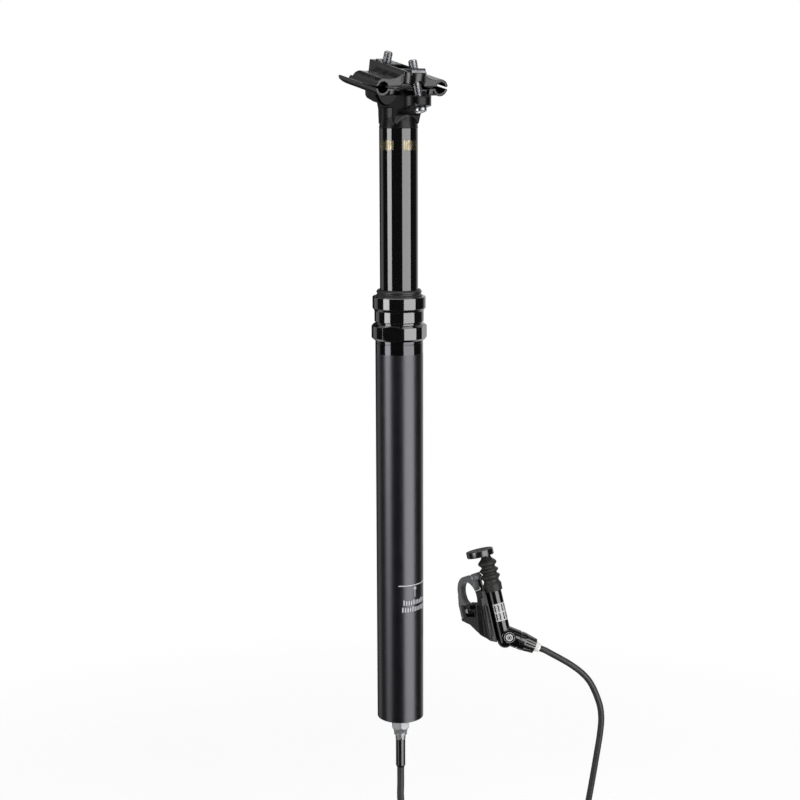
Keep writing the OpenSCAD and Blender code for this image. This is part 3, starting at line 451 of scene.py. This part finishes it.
# hose, in mm in the photograph's plane: out of the foot, into the put-away coil, and up to the remote
hose = {
    "diameter": 5,
    "exitZ": -38.2,
    "coilAt": (108, 107, -192),
    "coilTurn": 45,
    "coilInnerRadius": 28.5,
    "coilGap": 0.7,
    "coilTurns": 5.5,
    "coilClimb": 0.25,         # turns each way of the middle, where it climbs to the other layer
    "coilLead": 6,
    "ringsPerTurn": 48,
    "runSteps": 8,             # rings between two points of a run
    "roundness": 6,
    "postPoints": [(0, 0, -50), (0, 0, -63), (2.5, 2.5, -84), (10, 9.5, -101.5), (22, 20.5, -115),
                   (39.5, 37, -122.5), (57, 53, -130.5), (68.5, 64, -144), (76, 71, -162)],
    "remotePoints": [(136, 147.5, -21), (149, 147, -33), (157, 147, -50), (159.5, 147, -63), (159, 147, -76),
                     (157, 147, -92), (152, 147, -127), (149, 146, -143), (143.5, 143.5, -160),
                     (138.8, 141, -174)],
}


def coilWinding(look):
    # spirals in on one layer, climbs, and spirals out on the next
    pitch = look["diameter"] + look["coilGap"]
    steps = round(look["coilTurns"] * look["ringsPerTurn"])
    spin = turn("Z", look["coilTurn"])
    points = []
    for k in range(steps + 1):
        turns = (k - steps / 2) / look["ringsPerTurn"]
        radius = look["coilInnerRadius"] + pitch * abs(turns)
        share = max(-1, min(1, turns / look["coilClimb"]))
        climb = share * (3 - share * share) / 2
        angle = math.pi + 2 * math.pi * k / look["ringsPerTurn"]
        points.append(spin @ Vector((radius * math.cos(angle), climb * pitch / 2, radius * math.sin(angle)))
                      + Vector(look["coilAt"]))
    return points


def hoseRoute(look):
    winding = coilWinding(look)
    lead, up = Vector((0, 0, look["coilLead"])), Vector((0, 0, look["diameter"]))
    coilStart, coilEnd = winding[0] + lead, winding[-1] + lead
    ferruleEnd = layout["elbowLength"] + layout["knobLength"] + layout["ferruleLength"]
    toPlane = photoPlane.inverted() @ knobFrame
    remoteEnd = (toPlane @ Vector((0, 0, ferruleEnd * millimetre))) / millimetre
    outOfRemote = (toPlane @ Vector((0, 0, (ferruleEnd + look["diameter"]) * millimetre))) / millimetre
    fromPost = smoothRun([Vector(point) for point in look["postPoints"]] + [coilStart + up], look["runSteps"])
    toRemote = smoothRun([outOfRemote] + [Vector(point) for point in look["remotePoints"]] + [coilEnd + up],
                         look["runSteps"])
    route = [Vector((0, 0, look["exitZ"]))] + fromPost + [coilStart] + winding + [coilEnd]
    return route + toRemote[::-1] + [remoteEnd]


def makeHose(look):
    route = [photoPlane @ (point * millimetre) for point in hoseRoute(look)]
    curve = bpy.data.curves.new("hose", "CURVE")
    curve.dimensions = "3D"
    curve.bevel_depth = look["diameter"] / 2 * millimetre
    curve.bevel_resolution = look["roundness"]
    curve.use_fill_caps = True
    spline = curve.splines.new("POLY")
    spline.points.add(len(route) - 1)
    for point, place in zip(spline.points, route):
        point.co = (*place, 1)
    spline.use_smooth = True
    curve.materials.append(finishes["hose_grey"])
    piece = bpy.data.objects.new("hose", curve)
    scene.collection.objects.link(piece)
    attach(piece, "outer")
    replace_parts(piece, "hose_post_run", "hose_coil", "hose_remote_run")


makeHose(hose)

# nodes whose edges and corners are rounded off as the forged and moulded originals are:
# voxel size in mm, and rounds of smoothing
softened = {
    "head": {"piece": "forgedHead", "body": "shaft", "slot": "forged_black", "finish": "shadedHeadBlack",
             "voxel": 0.36, "rounds": 5},
    "lower_cradle": {"piece": "forgedCradle", "body": "clamp", "slot": "forged_black",
                     "voxel": 0.36, "rounds": 3},
    "upper_clamp": {"piece": "forgedUpperClamp", "body": "clamp", "slot": "forged_black",
                    "voxel": 0.36, "rounds": 3, "filleted": True},
    "bracket": {"piece": "mouldedBracket", "body": "outer", "slot": "grey_plastic",
                "voxel": 0.32, "rounds": 5, "fluted": True},
    "strap": {"piece": "mouldedStrap", "body": "strap", "slot": "strap_grey", "voxel": 0.3, "rounds": 5},
}

# hollow fillets from the upper clamp's jaws to its box, in mm in the clamp's frame
fillets = {
    "pivotHeight": 28.5,       # above the shaft's top
    "tilt": 12,
    "from": -16.3,
    "length": 29,
    # away from the middle, and up
    "outline": [(19, 5.1), (16.5, 5.2), (14.5, 5.5), (12.5, 6), (10.8, 6.8), (9.4, 7.9), (8.4, 9.1),
                (7.8, 10.4), (6.8, 10.4), (6.8, 5), (10, 4), (19, 3.5)],
}

# moulded flutes on the bracket, in mm in the remote's frame
flutes = {
    "from": -18.5,             # left end of the fluted side
    "to": -6.8,
    "low": 0,
    "high": 30,
    "leftFade": 1.5,           # how far each end of the flutes takes to reach the full depth
    "rightFade": 1,
    "lowFade": 4,
    "highFade": 3,
    "facing": (0.1, 0.5),      # how squarely a face looks to the front before it is fluted
    "spread": 0.016,           # how far the flutes part towards the foot, per mm
    "pitch": 4.3,
    "depth": 1.15,
}


def easeBetween(value, start, end):
    # 0 before start, 1 after end, and a soft step between
    share = max(0, min(1, (value - start) / (end - start)))
    return share * share * (3 - 2 * share)


def carveFlutes(mesh, look):
    toRemote = remoteFrame.inverted()
    moved = []
    for vertex in mesh.vertices:
        point = (toRemote @ vertex.co) / millimetre
        facing = -(toRemote.to_3x3() @ vertex.normal).normalized().y
        across = (point.x - look["to"]) / (1 + look["spread"] * (look["high"] - point.z))
        share = easeBetween(facing, *look["facing"])
        share *= easeBetween(point.x - look["from"], 0, look["leftFade"])
        share *= easeBetween(look["to"] - point.x, 0, look["rightFade"])
        share *= easeBetween(point.z - look["low"], 0, look["lowFade"])
        share *= easeBetween(look["high"] - point.z, 0, look["highFade"])
        wave = 0.5 - 0.5 * math.cos(2 * math.pi * across / look["pitch"])
        moved.append((vertex.index, vertex.normal.copy() * (-look["depth"] * share * wave * millimetre)))
    for index, step in moved:
        mesh.vertices[index].co += step
    mesh.update()


def addFillets(mesh, look):
    place = shift(0, 0, layout["shaftTop"] + look["pivotHeight"]) @ turn("X", look["tilt"])
    work = bmesh.new()
    work.from_mesh(mesh)
    for side in (-1, 1):
        ends = []
        for y in (look["from"], look["from"] + look["length"]):
            corners = [Vector((side * x, y, z)) * millimetre for x, z in look["outline"]]
            ends.append([work.verts.new(place @ corner) for corner in corners])
        front, rear = ends
        for k in range(len(front)):
            work.faces.new((front[k - 1], front[k], rear[k], rear[k - 1]))
        work.faces.new(front)
        work.faces.new(rear[::-1])
    work.to_mesh(mesh)
    work.free()


def softenedCopy(node, look):
    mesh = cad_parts[node].data.copy()
    if look.get("filleted"):
        addFillets(mesh, fillets)
    tidyMesh(mesh)
    scratch = bpy.data.objects.new("scratch", mesh)
    scene.collection.objects.link(scratch)
    remesh = scratch.modifiers.new("remesh", "REMESH")
    remesh.mode = "VOXEL"
    remesh.voxel_size = look["voxel"] * millimetre
    smooth = scratch.modifiers.new("smooth", "SMOOTH")
    smooth.factor = 0.5
    smooth.iterations = look["rounds"]
    ready = scratch.evaluated_get(bpy.context.evaluated_depsgraph_get())
    rounded = bpy.data.meshes.new_from_object(ready)
    rounded.name = look["piece"]
    bpy.data.objects.remove(scratch)
    bpy.data.meshes.remove(mesh)
    if look.get("fluted"):
        carveFlutes(rounded, flutes)
    piece = addPiece(look["piece"], rounded, look["slot"], look["body"], smoothAngle=180,
                     finish=look.get("finish"))
    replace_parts(piece, node)


for nodeName, nodeLook in softened.items():
    softenedCopy(nodeName, nodeLook)
print("rounded forgings and mouldings made")

# clamp bolts, in mm along the bolt from its lower pivot
clampBolts = {
    "front_bolt": {"piece": "frontClampBolt", "pivot": (0, -24, 411.8), "slope": -16, "length": 29.6},
    "rear_bolt": {"piece": "rearClampBolt", "pivot": (0, 21.7, 418.6), "slope": 21, "length": 29.9},
}
boltForm = {
    "radius": 2.9,
    "threadDepth": 0.36,
    "threadPitch": 1.0,
    "threadFlat": 1.35,        # width and slope of the valley between two threads
    "threadSlope": 3.4,
    "stepsPerPitch": 8,
    "sides": 36,
    "headRadius": 4,
    "headLow": -3.6,
    "headTop": -0.4,
    # how far in and up each ring of the head's rounded end lies
    "headEnd": [(0.45, 0), (0.18, 0.12), (0, 0.4)],
    "socketRadius": 2.5,
    "socketDepth": 2.4,
    "bevel": 0.15,             # of the socket's mouth and of the head's other edge
    "tipTaper": 0.8,
    "tipSlope": 0.8,
}


def boltRings(form, length):
    sides = form["sides"]

    def ring(height, radius):
        # the radius is a number, or a function of the angle
        circle = []
        for side in range(sides):
            angle = 2 * math.pi * side / sides
            r = radius(angle) if callable(radius) else radius
            circle.append((r * math.cos(angle), r * math.sin(angle), height))
        return circle

    def socketWall(angle):
        # hexagon for the key
        return form["socketRadius"] * math.cos(math.pi / 6) / math.cos(angle % (math.pi / 3) - math.pi / 6)

    def threadAt(height):
        def radius(angle):
            phase = (height / form["threadPitch"] - angle / (2 * math.pi)) % 1
            valley = max(0, min(1, form["threadFlat"] - abs(phase - 0.5) * form["threadSlope"]))
            taper = max(0, height - (length - form["tipTaper"])) * form["tipSlope"]
            return min(form["radius"] - form["threadDepth"] * valley, form["radius"] - taper)
        return radius

    low, top, wide, bevel = form["headLow"], form["headTop"], form["headRadius"], form["bevel"]
    rings = [ring(low + form["socketDepth"], socketWall), ring(low + bevel, socketWall),
             ring(low, lambda angle: socketWall(angle) + bevel)]
    rings += [ring(low + up, wide - inward) for inward, up in form["headEnd"]]
    rings += [ring(top - bevel, wide), ring(top, wide - bevel), ring(top, form["radius"])]
    steps = round((length - top) / form["threadPitch"] * form["stepsPerPitch"])
    for k in range(1, steps + 1):
        height = top + (length - top) * k / steps
        rings.append(ring(height, threadAt(height)))
    return rings


def makeClampBolt(node, look):
    place = shift(*look["pivot"]) @ turn("X", look["slope"])
    mesh = skinMesh(look["piece"], boltRings(boltForm, look["length"]), place)
    piece = addPiece(look["piece"], mesh, "dark_steel", node, smoothAngle=50, finish="litBoltSteel")
    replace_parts(piece, node)


for nodeName, nodeLook in clampBolts.items():
    makeClampBolt(nodeName, nodeLook)
print("clamp bolts made")

# rubber boot, in mm along the remote's barrel
boot = {
    "low": 37.5,
    "cupHeight": 5.4,
    "length": 27.2,
    "wall": 0.9,
    "rodHole": 2.5,
    "foldBore": 6.35,
    # radius and height round the cup that grips the barrel
    "cup": [(6.32, 0), (7.0, 0), (7.18, 0.2), (7.2, 0.6), (7.36, 4.6), (7.45, 5.0), (7.4, 5.4), (6.32, 5.4)],
    # radius and height of each crest and valley above the cup
    "folds": [(7.35, 5.4), (6.0, 8.4), (7.8, 11.6), (5.7, 14), (7.6, 16.6), (5.4, 19.2), (7.5, 22.4),
              (4.6, 25.8), (3.9, 27.2)],
    "foldSteps": 5,
    "keep": 0.587,             # share of its length that is left when the button is down
}


def foldOutline(look):
    crests = smoothRun([Vector((r, z, 0)) for r, z in look["folds"]], look["foldSteps"])
    outside = [(point.x, point.y) for point in crests]
    inside = [(max(look["rodHole"], r - look["wall"]), z) for r, z in outside]
    inside[0] = (look["foldBore"], look["cupHeight"])
    inside[-1] = (look["rodHole"], look["length"])
    return outside + inside[::-1]


def makeBoot(look):
    place = remoteFrame @ shift(0, 0, look["low"])
    cupMesh = latheMesh("bootCup", look["cup"], place)
    foldMesh = latheMesh("bootFolds", foldOutline(look), place)
    band = addPiece("bootCup", cupMesh, "rubber_boot", "outer", smoothAngle=50)
    folds = addPiece("bootFolds", foldMesh, "rubber_boot", "outer", smoothAngle=70)
    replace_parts(band, "bellows")
    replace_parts(folds, "bellows")
    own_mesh(folds)


makeBoot(boot)

# return spring in the barrel, in mm
returnSpring = {
    "wire": 0.9,
    "curls": 6,
    "low": 7.05,
    "high": 25.4,
    "radius": 3.65,
    "stepsPerCurl": 28,
    "sides": 10,
    "keep": 0.51,
}


def makeReturnSpring(look):
    steps = look["curls"] * look["stepsPerCurl"]
    radius = look["radius"]
    centres = []
    for k in range(steps + 1):
        angle = 2 * math.pi * k / look["stepsPerCurl"]
        height = look["low"] + (look["high"] - look["low"]) * k / steps
        centres.append(Vector((radius * math.cos(angle), radius * math.sin(angle), height)))
    roundWire = [2 * math.pi * side / look["sides"] for side in range(look["sides"])]
    rings = []
    for k, centre in enumerate(centres):
        ahead = (centres[min(k + 1, steps)] - centres[max(k - 1, 0)]).normalized()
        outward = Vector((centre.x, centre.y, 0)).normalized()
        upward = ahead.cross(outward)
        rings.append([centre + look["wire"] / 2 * (outward * math.cos(angle) + upward * math.sin(angle))
                      for angle in roundWire])
    mesh = skinMesh("springWire", rings, remoteFrame)
    piece = addPiece("springWire", mesh, "bright_steel", "outer", smoothAngle=60)
    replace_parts(piece, "return_spring")
    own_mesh(piece)


makeReturnSpring(returnSpring)
print("boot and spring made")

# thumb button, in mm in the remote's frame: a disc off the barrel's line, on a short boss
thumbButton = {
    "shift": -3.8,
    "low": 66.3,
    "radius": 10.8,
    "thick": 5,
    # how far in from the rim, and up from the foot or down from the top
    "footEdge": [(0.7, 0), (0.25, 0.1), (0.04, 0.35), (0, 0.7)],
    "topEdge": [(0, 0.5), (0.06, 0.25), (0.25, 0.05), (0.5, 0), (0.8, 0), (0.9, 0.35)],
    # dull grip face set in the top
    "grip": [(1.0, 0.5), (1.0, 0.12), (1.15, 0), (2.6, 0.06)],
    "gripDish": 0.22,
    "bossRadius": 3.8,
    "bossDrop": 1.4,
    "bossBevel": 0.2,
    "bossRise": 0.3,
    "boreRadius": 2.0,
    "segments": 96,
}


def makeThumbButton(look):
    r, t, bore, segments = look["radius"], look["thick"], look["boreRadius"], look["segments"]
    discPlace = remoteFrame @ shift(look["shift"], 0, look["low"])
    outline = [(0, 0)] + [(r - inward, up) for inward, up in look["footEdge"]]
    outline += [(r - inward, t - down) for inward, down in look["topEdge"]]
    disc = latheMesh("disc", outline + [(0, t - look["topEdge"][-1][1])], discPlace, segments)
    b, d, bevel, rise = look["bossRadius"], look["bossDrop"], look["bossBevel"], look["bossRise"]
    stub = latheMesh("stub", [(bore, -d), (b - bevel, -d), (b, -d + bevel), (b, rise), (bore, rise)],
                     remoteFrame @ shift(0, 0, look["low"]), segments // 2)
    pad = addPiece("thumbPad", joinedMesh("thumbPad", (disc, stub)), "black_plastic", "plunger")
    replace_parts(pad, "thumb_button")
    outline = [(0, t - look["grip"][0][1])] + [(r - inward, t - down) for inward, down in look["grip"]]
    gripMesh = latheMesh("thumbGrip", outline + [(0, t - look["gripDish"])], discPlace, segments)
    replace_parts(addPiece("thumbGrip", gripMesh, "rubber_black", "plunger"), "thumb_button")


makeThumbButton(thumbButton)

# bleed screw on the elbow's side: silver rings on a black head, whose black between the rings is painted
# shade of the grooves, in mm out of the elbow
bleedScrew = {
    "at": (3.5, -8, 0),
    # radius and height
    "head": [(0, -4.4), (2.5, -4.4), (2.5, 0), (4.4, 0), (4.4, 0.75), (4.15, 1), (0.8, 1), (0.7, 0.2),
             (0, 0.2)],
    # radius of each ring's inside and outside
    "rings": [(0.85, 1.35), (1.75, 2.85), (3.85, 4.1)],
    "ringLow": 0.95,
    "ringTop": 1.15,
    "ringEdge": 0.06,
}


def makeBleedScrew(look):
    place = remoteFrame @ shift(*look["at"]) @ turn("X", 90)
    # the head's gloss black between the silver rings is painted shade of the grooves
    head = addPiece("grooveShadeHead", latheMesh("grooveShadeHead", look["head"], place), "bright_steel", "outer",
                    smoothAngle=30, finish="gloss_black")
    low, top, edge = look["ringLow"], look["ringTop"], look["ringEdge"]
    ringMeshes = []
    for inside, outside in look["rings"]:
        outline = [(inside, low), (outside, low), (outside, top - edge), (outside - edge, top), (inside, top)]
        ringMeshes.append(latheMesh("ring", outline, place))
    rings = addPiece("screwRings", joinedMesh("screwRings", ringMeshes), "bright_steel", "outer",
                     smoothAngle=30, finish="printSilver")
    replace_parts(head, "bleed_screw")
    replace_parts(rings, "bleed_screw")


makeBleedScrew(bleedScrew)
print("thumb button and bleed screw made")

# gold band near the shaft's top, in groups of plain bars: degrees to the right of the camera's side, and mm
shaftBand = {
    "low": 384.4,
    "high": 390.7,
    "groups": [(-76, -14), (14, 76), (104, 166), (194, 256)],
    "bars": 9,                 # in each group
    "barShare": (0.1, 0.9),    # where a bar starts and ends in its step
    "inset": 0.5,              # how much shorter every third bar is at each end
}


def facingAngle(degrees):
    # angle about Z of a direction so many degrees right of the camera's side
    return layout["bearing"] - 90 + degrees


def postPatch(radius, start, end, low, high):
    return wrappedPatch(radius - printing["bedding"], (facingAngle(start), facingAngle(end)), (low, high),
                        Matrix.Identity(4))


def makeShaftBand(look):
    patches = []
    for start, end in look["groups"]:
        step = (end - start) / look["bars"]
        for k in range(look["bars"]):
            barStart, barEnd = (start + step * (k + share) for share in look["barShare"])
            inset = look["inset"] if k % 3 == 1 else 0
            patches.append(postPatch(layout["shaftRadius"], barStart, barEnd, look["low"] + inset,
                                     look["high"] - inset))
    addPiece("shaftBand", joinedMesh("shaftBand", patches), "gold_aluminium", "shaft")


makeShaftBand(shaftBand)

# least insertion on the outer tube: a line, an arrow up to it and two rows of plain ticks,
# in degrees to the right of the camera's side, and mm from the line
insertionMark = {
    "height": 97,
    "line": 0.7,
    "from": -4,
    "to": 90,
    "arrowAt": 39,
    "arrowStem": (1, -8.4, -2.4),      # half its width, foot and top
    "arrowSteps": 4,
    "arrowTop": -0.9,
    "arrowStep": 0.5,
    "arrowWide": (1.0, 1.2),   # half width of the first step, and how much wider each next one is
    "rows": (-13.6, -18.4),
    "ticks": 11,
    "tickFrom": 8,
    "tickPitch": 6.6,
    "tickWide": 3.4,
    "rowShift": -3,
    "tall": 3.5,               # every fourth tick
    "short": 2.9,
}


def makeInsertionMark(look):
    radius, z, middle = layout["tubeRadius"], look["height"], look["arrowAt"]
    patches = [postPatch(radius, look["from"], look["to"], z - look["line"] / 2, z + look["line"] / 2)]
    half, low, high = look["arrowStem"]
    patches.append(postPatch(radius, middle - half, middle + half, z + low, z + high))
    for k in range(look["arrowSteps"]):
        wide = look["arrowWide"][0] + look["arrowWide"][1] * k
        top = z + look["arrowTop"] - look["arrowStep"] * k
        patches.append(postPatch(radius, middle - wide, middle + wide, top - look["arrowStep"], top))
    for row, height in enumerate(look["rows"]):
        low = z + height
        for k in range(look["ticks"]):
            start = look["tickFrom"] + look["tickPitch"] * k + look["rowShift"] * row
            tall = look["tall"] if k % 4 == 0 else look["short"]
            patches.append(postPatch(radius, start, start + look["tickWide"], low, low + tall))
    addPiece("insertionMark", joinedMesh("insertionMark", patches), "white_plastic", "outer",
             finish="printGrey")


makeInsertionMark(insertionMark)

# silver label on the remote's barrel with rows of black ticks, angles about the barrel in its own frame
barrelLabel = {
    "low": 13.5,
    "high": 27.5,
    "angles": (-124, 14),
    "ticks": 5,
    "tickShare": (0.22, 0.62),         # where a tick starts and ends in its step
    "margin": 1,
    "halfGap": 0.6,            # between the rows
}


def makeBarrelLabel(look):
    radius = layout["barrelRadius"] - printing["bedding"]
    low, high, (start, end) = look["low"], look["high"], look["angles"]
    plate = wrappedPatch(radius, look["angles"], (low, high), remoteFrame)
    addPiece("labelPlate", joinedMesh("labelPlate", [plate]), "bare_aluminium", "outer", finish="printSilver")
    middle, margin, gap = (low + high) / 2, look["margin"], look["halfGap"]
    step = (end - start) / look["ticks"]
    ticks = []
    for heights in ((low + margin, middle - gap), (middle + gap, high - margin)):
        for k in range(look["ticks"]):
            angles = [start + step * (k + share) for share in look["tickShare"]]
            ticks.append(wrappedPatch(radius + printing["film"], angles, heights, remoteFrame))
    addPiece("labelTicks", joinedMesh("labelTicks", ticks), "gloss_black", "outer")


makeBarrelLabel(barrelLabel)
print("marks made")

# two tall softboxes and a weak one overhead, in metres, bearings in degrees right of the camera's side.
# fade: the heights where the lower end is dimmest and where it is full, and its least share
# topFade: the heights where the upper end starts and stops dimming, and its least share
studio = {
    "keyBox": {"bearing": -57, "distance": 1.0, "width": 0.5, "height": 1.6, "middle": 0.2, "power": 13.5,
               "fade": (-0.4, 0.34, 0.2), "topFade": (0.42, 0.62, 0.4)},
    "fillBox": {"bearing": 47.5, "distance": 1.0, "width": 1.0, "height": 1.6, "middle": 0.2, "power": 19,
                "fade": (-0.4, 0.34, 0.95), "topFade": (0.6, 1, 0.8)},
    "topBox": {"width": 1.5, "height": 1.5, "above": 1.6, "power": 12,
               "fade": (0, 1, 1), "topFade": (2, 3, 1)},
    "ambient": 0.16,           # what plain surfaces get from the room
    # glows that glossy surfaces see round the object: bearings where one starts and is full, and its strength
    "rightGlow": (118, 150, 0.9),
    "leftGlow": (-140, -131, 0.5),
    "leftEnd": (-111, -103),   # where the left one starts and stops dimming
    # the white below and behind: which way it lies, how near that way it starts and is full, and its strength
    "underWay": (0, 0.64, -0.768),
    "underGlow": (0.86, 0.96, 0.9),
    "frontDark": 0.03,         # the rest of the room
}


def addSoftbox(name, box, place):
    light = bpy.data.lights.new(name, "AREA")
    light.shape = "RECTANGLE"
    light.size = box["width"]
    light.size_y = box["height"]
    light.energy = box["power"]
    light.use_nodes = True
    tree = light.node_tree
    heights = addNode(tree, "SeparateXYZ")
    tree.links.new(addNode(tree, "NewGeometry").outputs["Position"], heights.inputs[0])
    joined = addNode(tree, "Math", operation="MULTIPLY")
    low, high, least = box["fade"]
    full, faded, share = box["topFade"]
    for slot, numbers in enumerate(((low, high, least, 1), (full, faded, 1, share))):
        tree.links.new(mapRange(tree, heights.outputs["Z"], *numbers, kind="SMOOTHSTEP"), joined.inputs[slot])
    tree.links.new(joined.outputs[0], tree.nodes["Emission"].inputs["Strength"])
    lamp = bpy.data.objects.new(name, light)
    scene.collection.objects.link(lamp)
    lamp.matrix_world = place
    lamp.visible_camera = False


def makeLights(look):
    for name in ("keyBox", "fillBox"):
        box = look[name]
        stand = Matrix.Translation((0, -box["distance"], box["middle"]))
        addSoftbox(name, box, photoPlane @ turn("Z", box["bearing"]) @ stand @ turn("X", 90))
    addSoftbox("topBox", look["topBox"], Matrix.Translation((0, 0, look["topBox"]["above"])))


def makeWorld(look):
    world = bpy.data.worlds.new("whiteRoom")
    scene.world = world
    world.use_nodes = True
    tree = world.node_tree
    tree.nodes.clear()

    def add(kind, **settings):
        return addNode(tree, kind, **settings)

    def along(way):
        facing = add("VectorMath", operation="DOT_PRODUCT")
        tree.links.new(outlook, facing.inputs[0])
        facing.inputs[1].default_value = photoPlane.to_3x3() @ Vector(way)
        return facing.outputs["Value"]

    def join(operation, first, second):
        node = add("Math", operation=operation)
        tree.links.new(first, node.inputs[0])
        tree.links.new(second, node.inputs[1])
        return node.outputs[0]

    def ease(value, *numbers):
        return mapRange(tree, value, *numbers, kind="SMOOTHSTEP")

    outlook = add("TexCoord").outputs["Generated"]
    bearing = join("ARCTAN2", along((1, 0, 0)), along((0, -1, 0)))     # 0 at the camera's side, to the right
    start, full, strength = look["rightGlow"]
    rightSide = ease(bearing, math.radians(start), math.radians(full), look["frontDark"], strength)
    start, full, strength = look["leftGlow"]
    leftStart = ease(bearing, math.radians(start), math.radians(full), 0, strength)
    start, full = look["leftEnd"]
    leftSide = join("MULTIPLY", leftStart, ease(bearing, math.radians(start), math.radians(full), 1, 0))
    behind = join("MAXIMUM", rightSide, leftSide)
    near, full, strength = look["underGlow"]
    below = ease(along(look["underWay"]), near, full, 0, strength)
    path = add("LightPath")
    room = add("Mix", data_type="FLOAT")
    tree.links.new(path.outputs["Is Glossy Ray"], room.inputs[0])
    room.inputs[2].default_value = look["ambient"]
    tree.links.new(join("MAXIMUM", behind, below), room.inputs[3])
    seen = add("Mix", data_type="FLOAT")
    tree.links.new(path.outputs["Is Camera Ray"], seen.inputs[0])
    tree.links.new(room.outputs[0], seen.inputs[2])
    seen.inputs[3].default_value = 1
    background = add("Background")
    background.inputs["Color"].default_value = (1, 1, 1, 1)
    tree.links.new(seen.outputs[0], background.inputs["Strength"])
    tree.links.new(background.outputs[0], add("OutputWorld").inputs["Surface"])


# pale floor below the coil, in metres
floorLook = {
    "z": -0.2388,
    "size": 12,
    "cells": 24,
    "white": (246, 246, 246),
    "otherWhite": (242, 242, 243),
    "patch": 400,              # mm
    "rough": 0.9,
    "shaded": 0.55,            # share of the floor's tone that takes the lamps and the shadow
    "glow": 1.34,              # strength of the rest
    "clear": (0.3, 0.85),      # distance from the post where the floor starts and ends its fade
}


def makeFloor(look):
    work = bmesh.new()
    bmesh.ops.create_grid(work, x_segments=look["cells"], y_segments=look["cells"], size=look["size"] / 2)
    mesh = bpy.data.meshes.new("studioFloor")
    work.to_mesh(mesh)
    work.free()
    floor = bpy.data.objects.new("studioFloor", mesh)
    scene.collection.objects.link(floor)
    floor.location.z = look["z"]
    bench = NodeBench("studioFloor")
    patches = bench.spread(bench.noise(look["patch"]), 0, 1)
    paper = bench.mixColour(patches, linearColour(look["white"]), linearColour(look["otherWhite"]))
    bench.wire(paper, bench.shader.inputs["Base Color"])
    bench.shader.inputs["Roughness"].default_value = look["rough"]
    bench.shader.inputs["Specular IOR Level"].default_value = 0
    glow = bench.add("Emission")
    glow.inputs["Strength"].default_value = look["glow"]
    path = bench.add("LightPath")
    clear = bench.add("BsdfTransparent").outputs[0]

    def blend(share, first, second):
        node = bench.add("MixShader")
        if isinstance(share, float):
            node.inputs[0].default_value = share
        else:
            bench.wire(share, node.inputs[0])
        bench.wire(first, node.inputs[1])
        bench.wire(second, node.inputs[2])
        return node.outputs[0]

    fromPost = bench.add("VectorMath", operation="LENGTH")
    bench.wire(bench.place, fromPost.inputs[0])
    lit = bench.shader.outputs[0]
    toCamera = blend(look["shaded"], glow.outputs[0], lit)
    fading = blend(bench.spread(fromPost.outputs["Value"], 0, 1, *look["clear"]), toCamera, clear)
    byCamera = blend(path.outputs["Is Camera Ray"], lit, fading)
    byGloss = blend(path.outputs["Is Glossy Ray"], byCamera, clear)
    bench.wire(byGloss, bench.tree.nodes["Material Output"].inputs["Surface"])
    mesh.materials.append(bench.material)


makeLights(studio)
makeWorld(studio)
makeFloor(floorLook)
print("studio made")

bpy.context.view_layer.update()
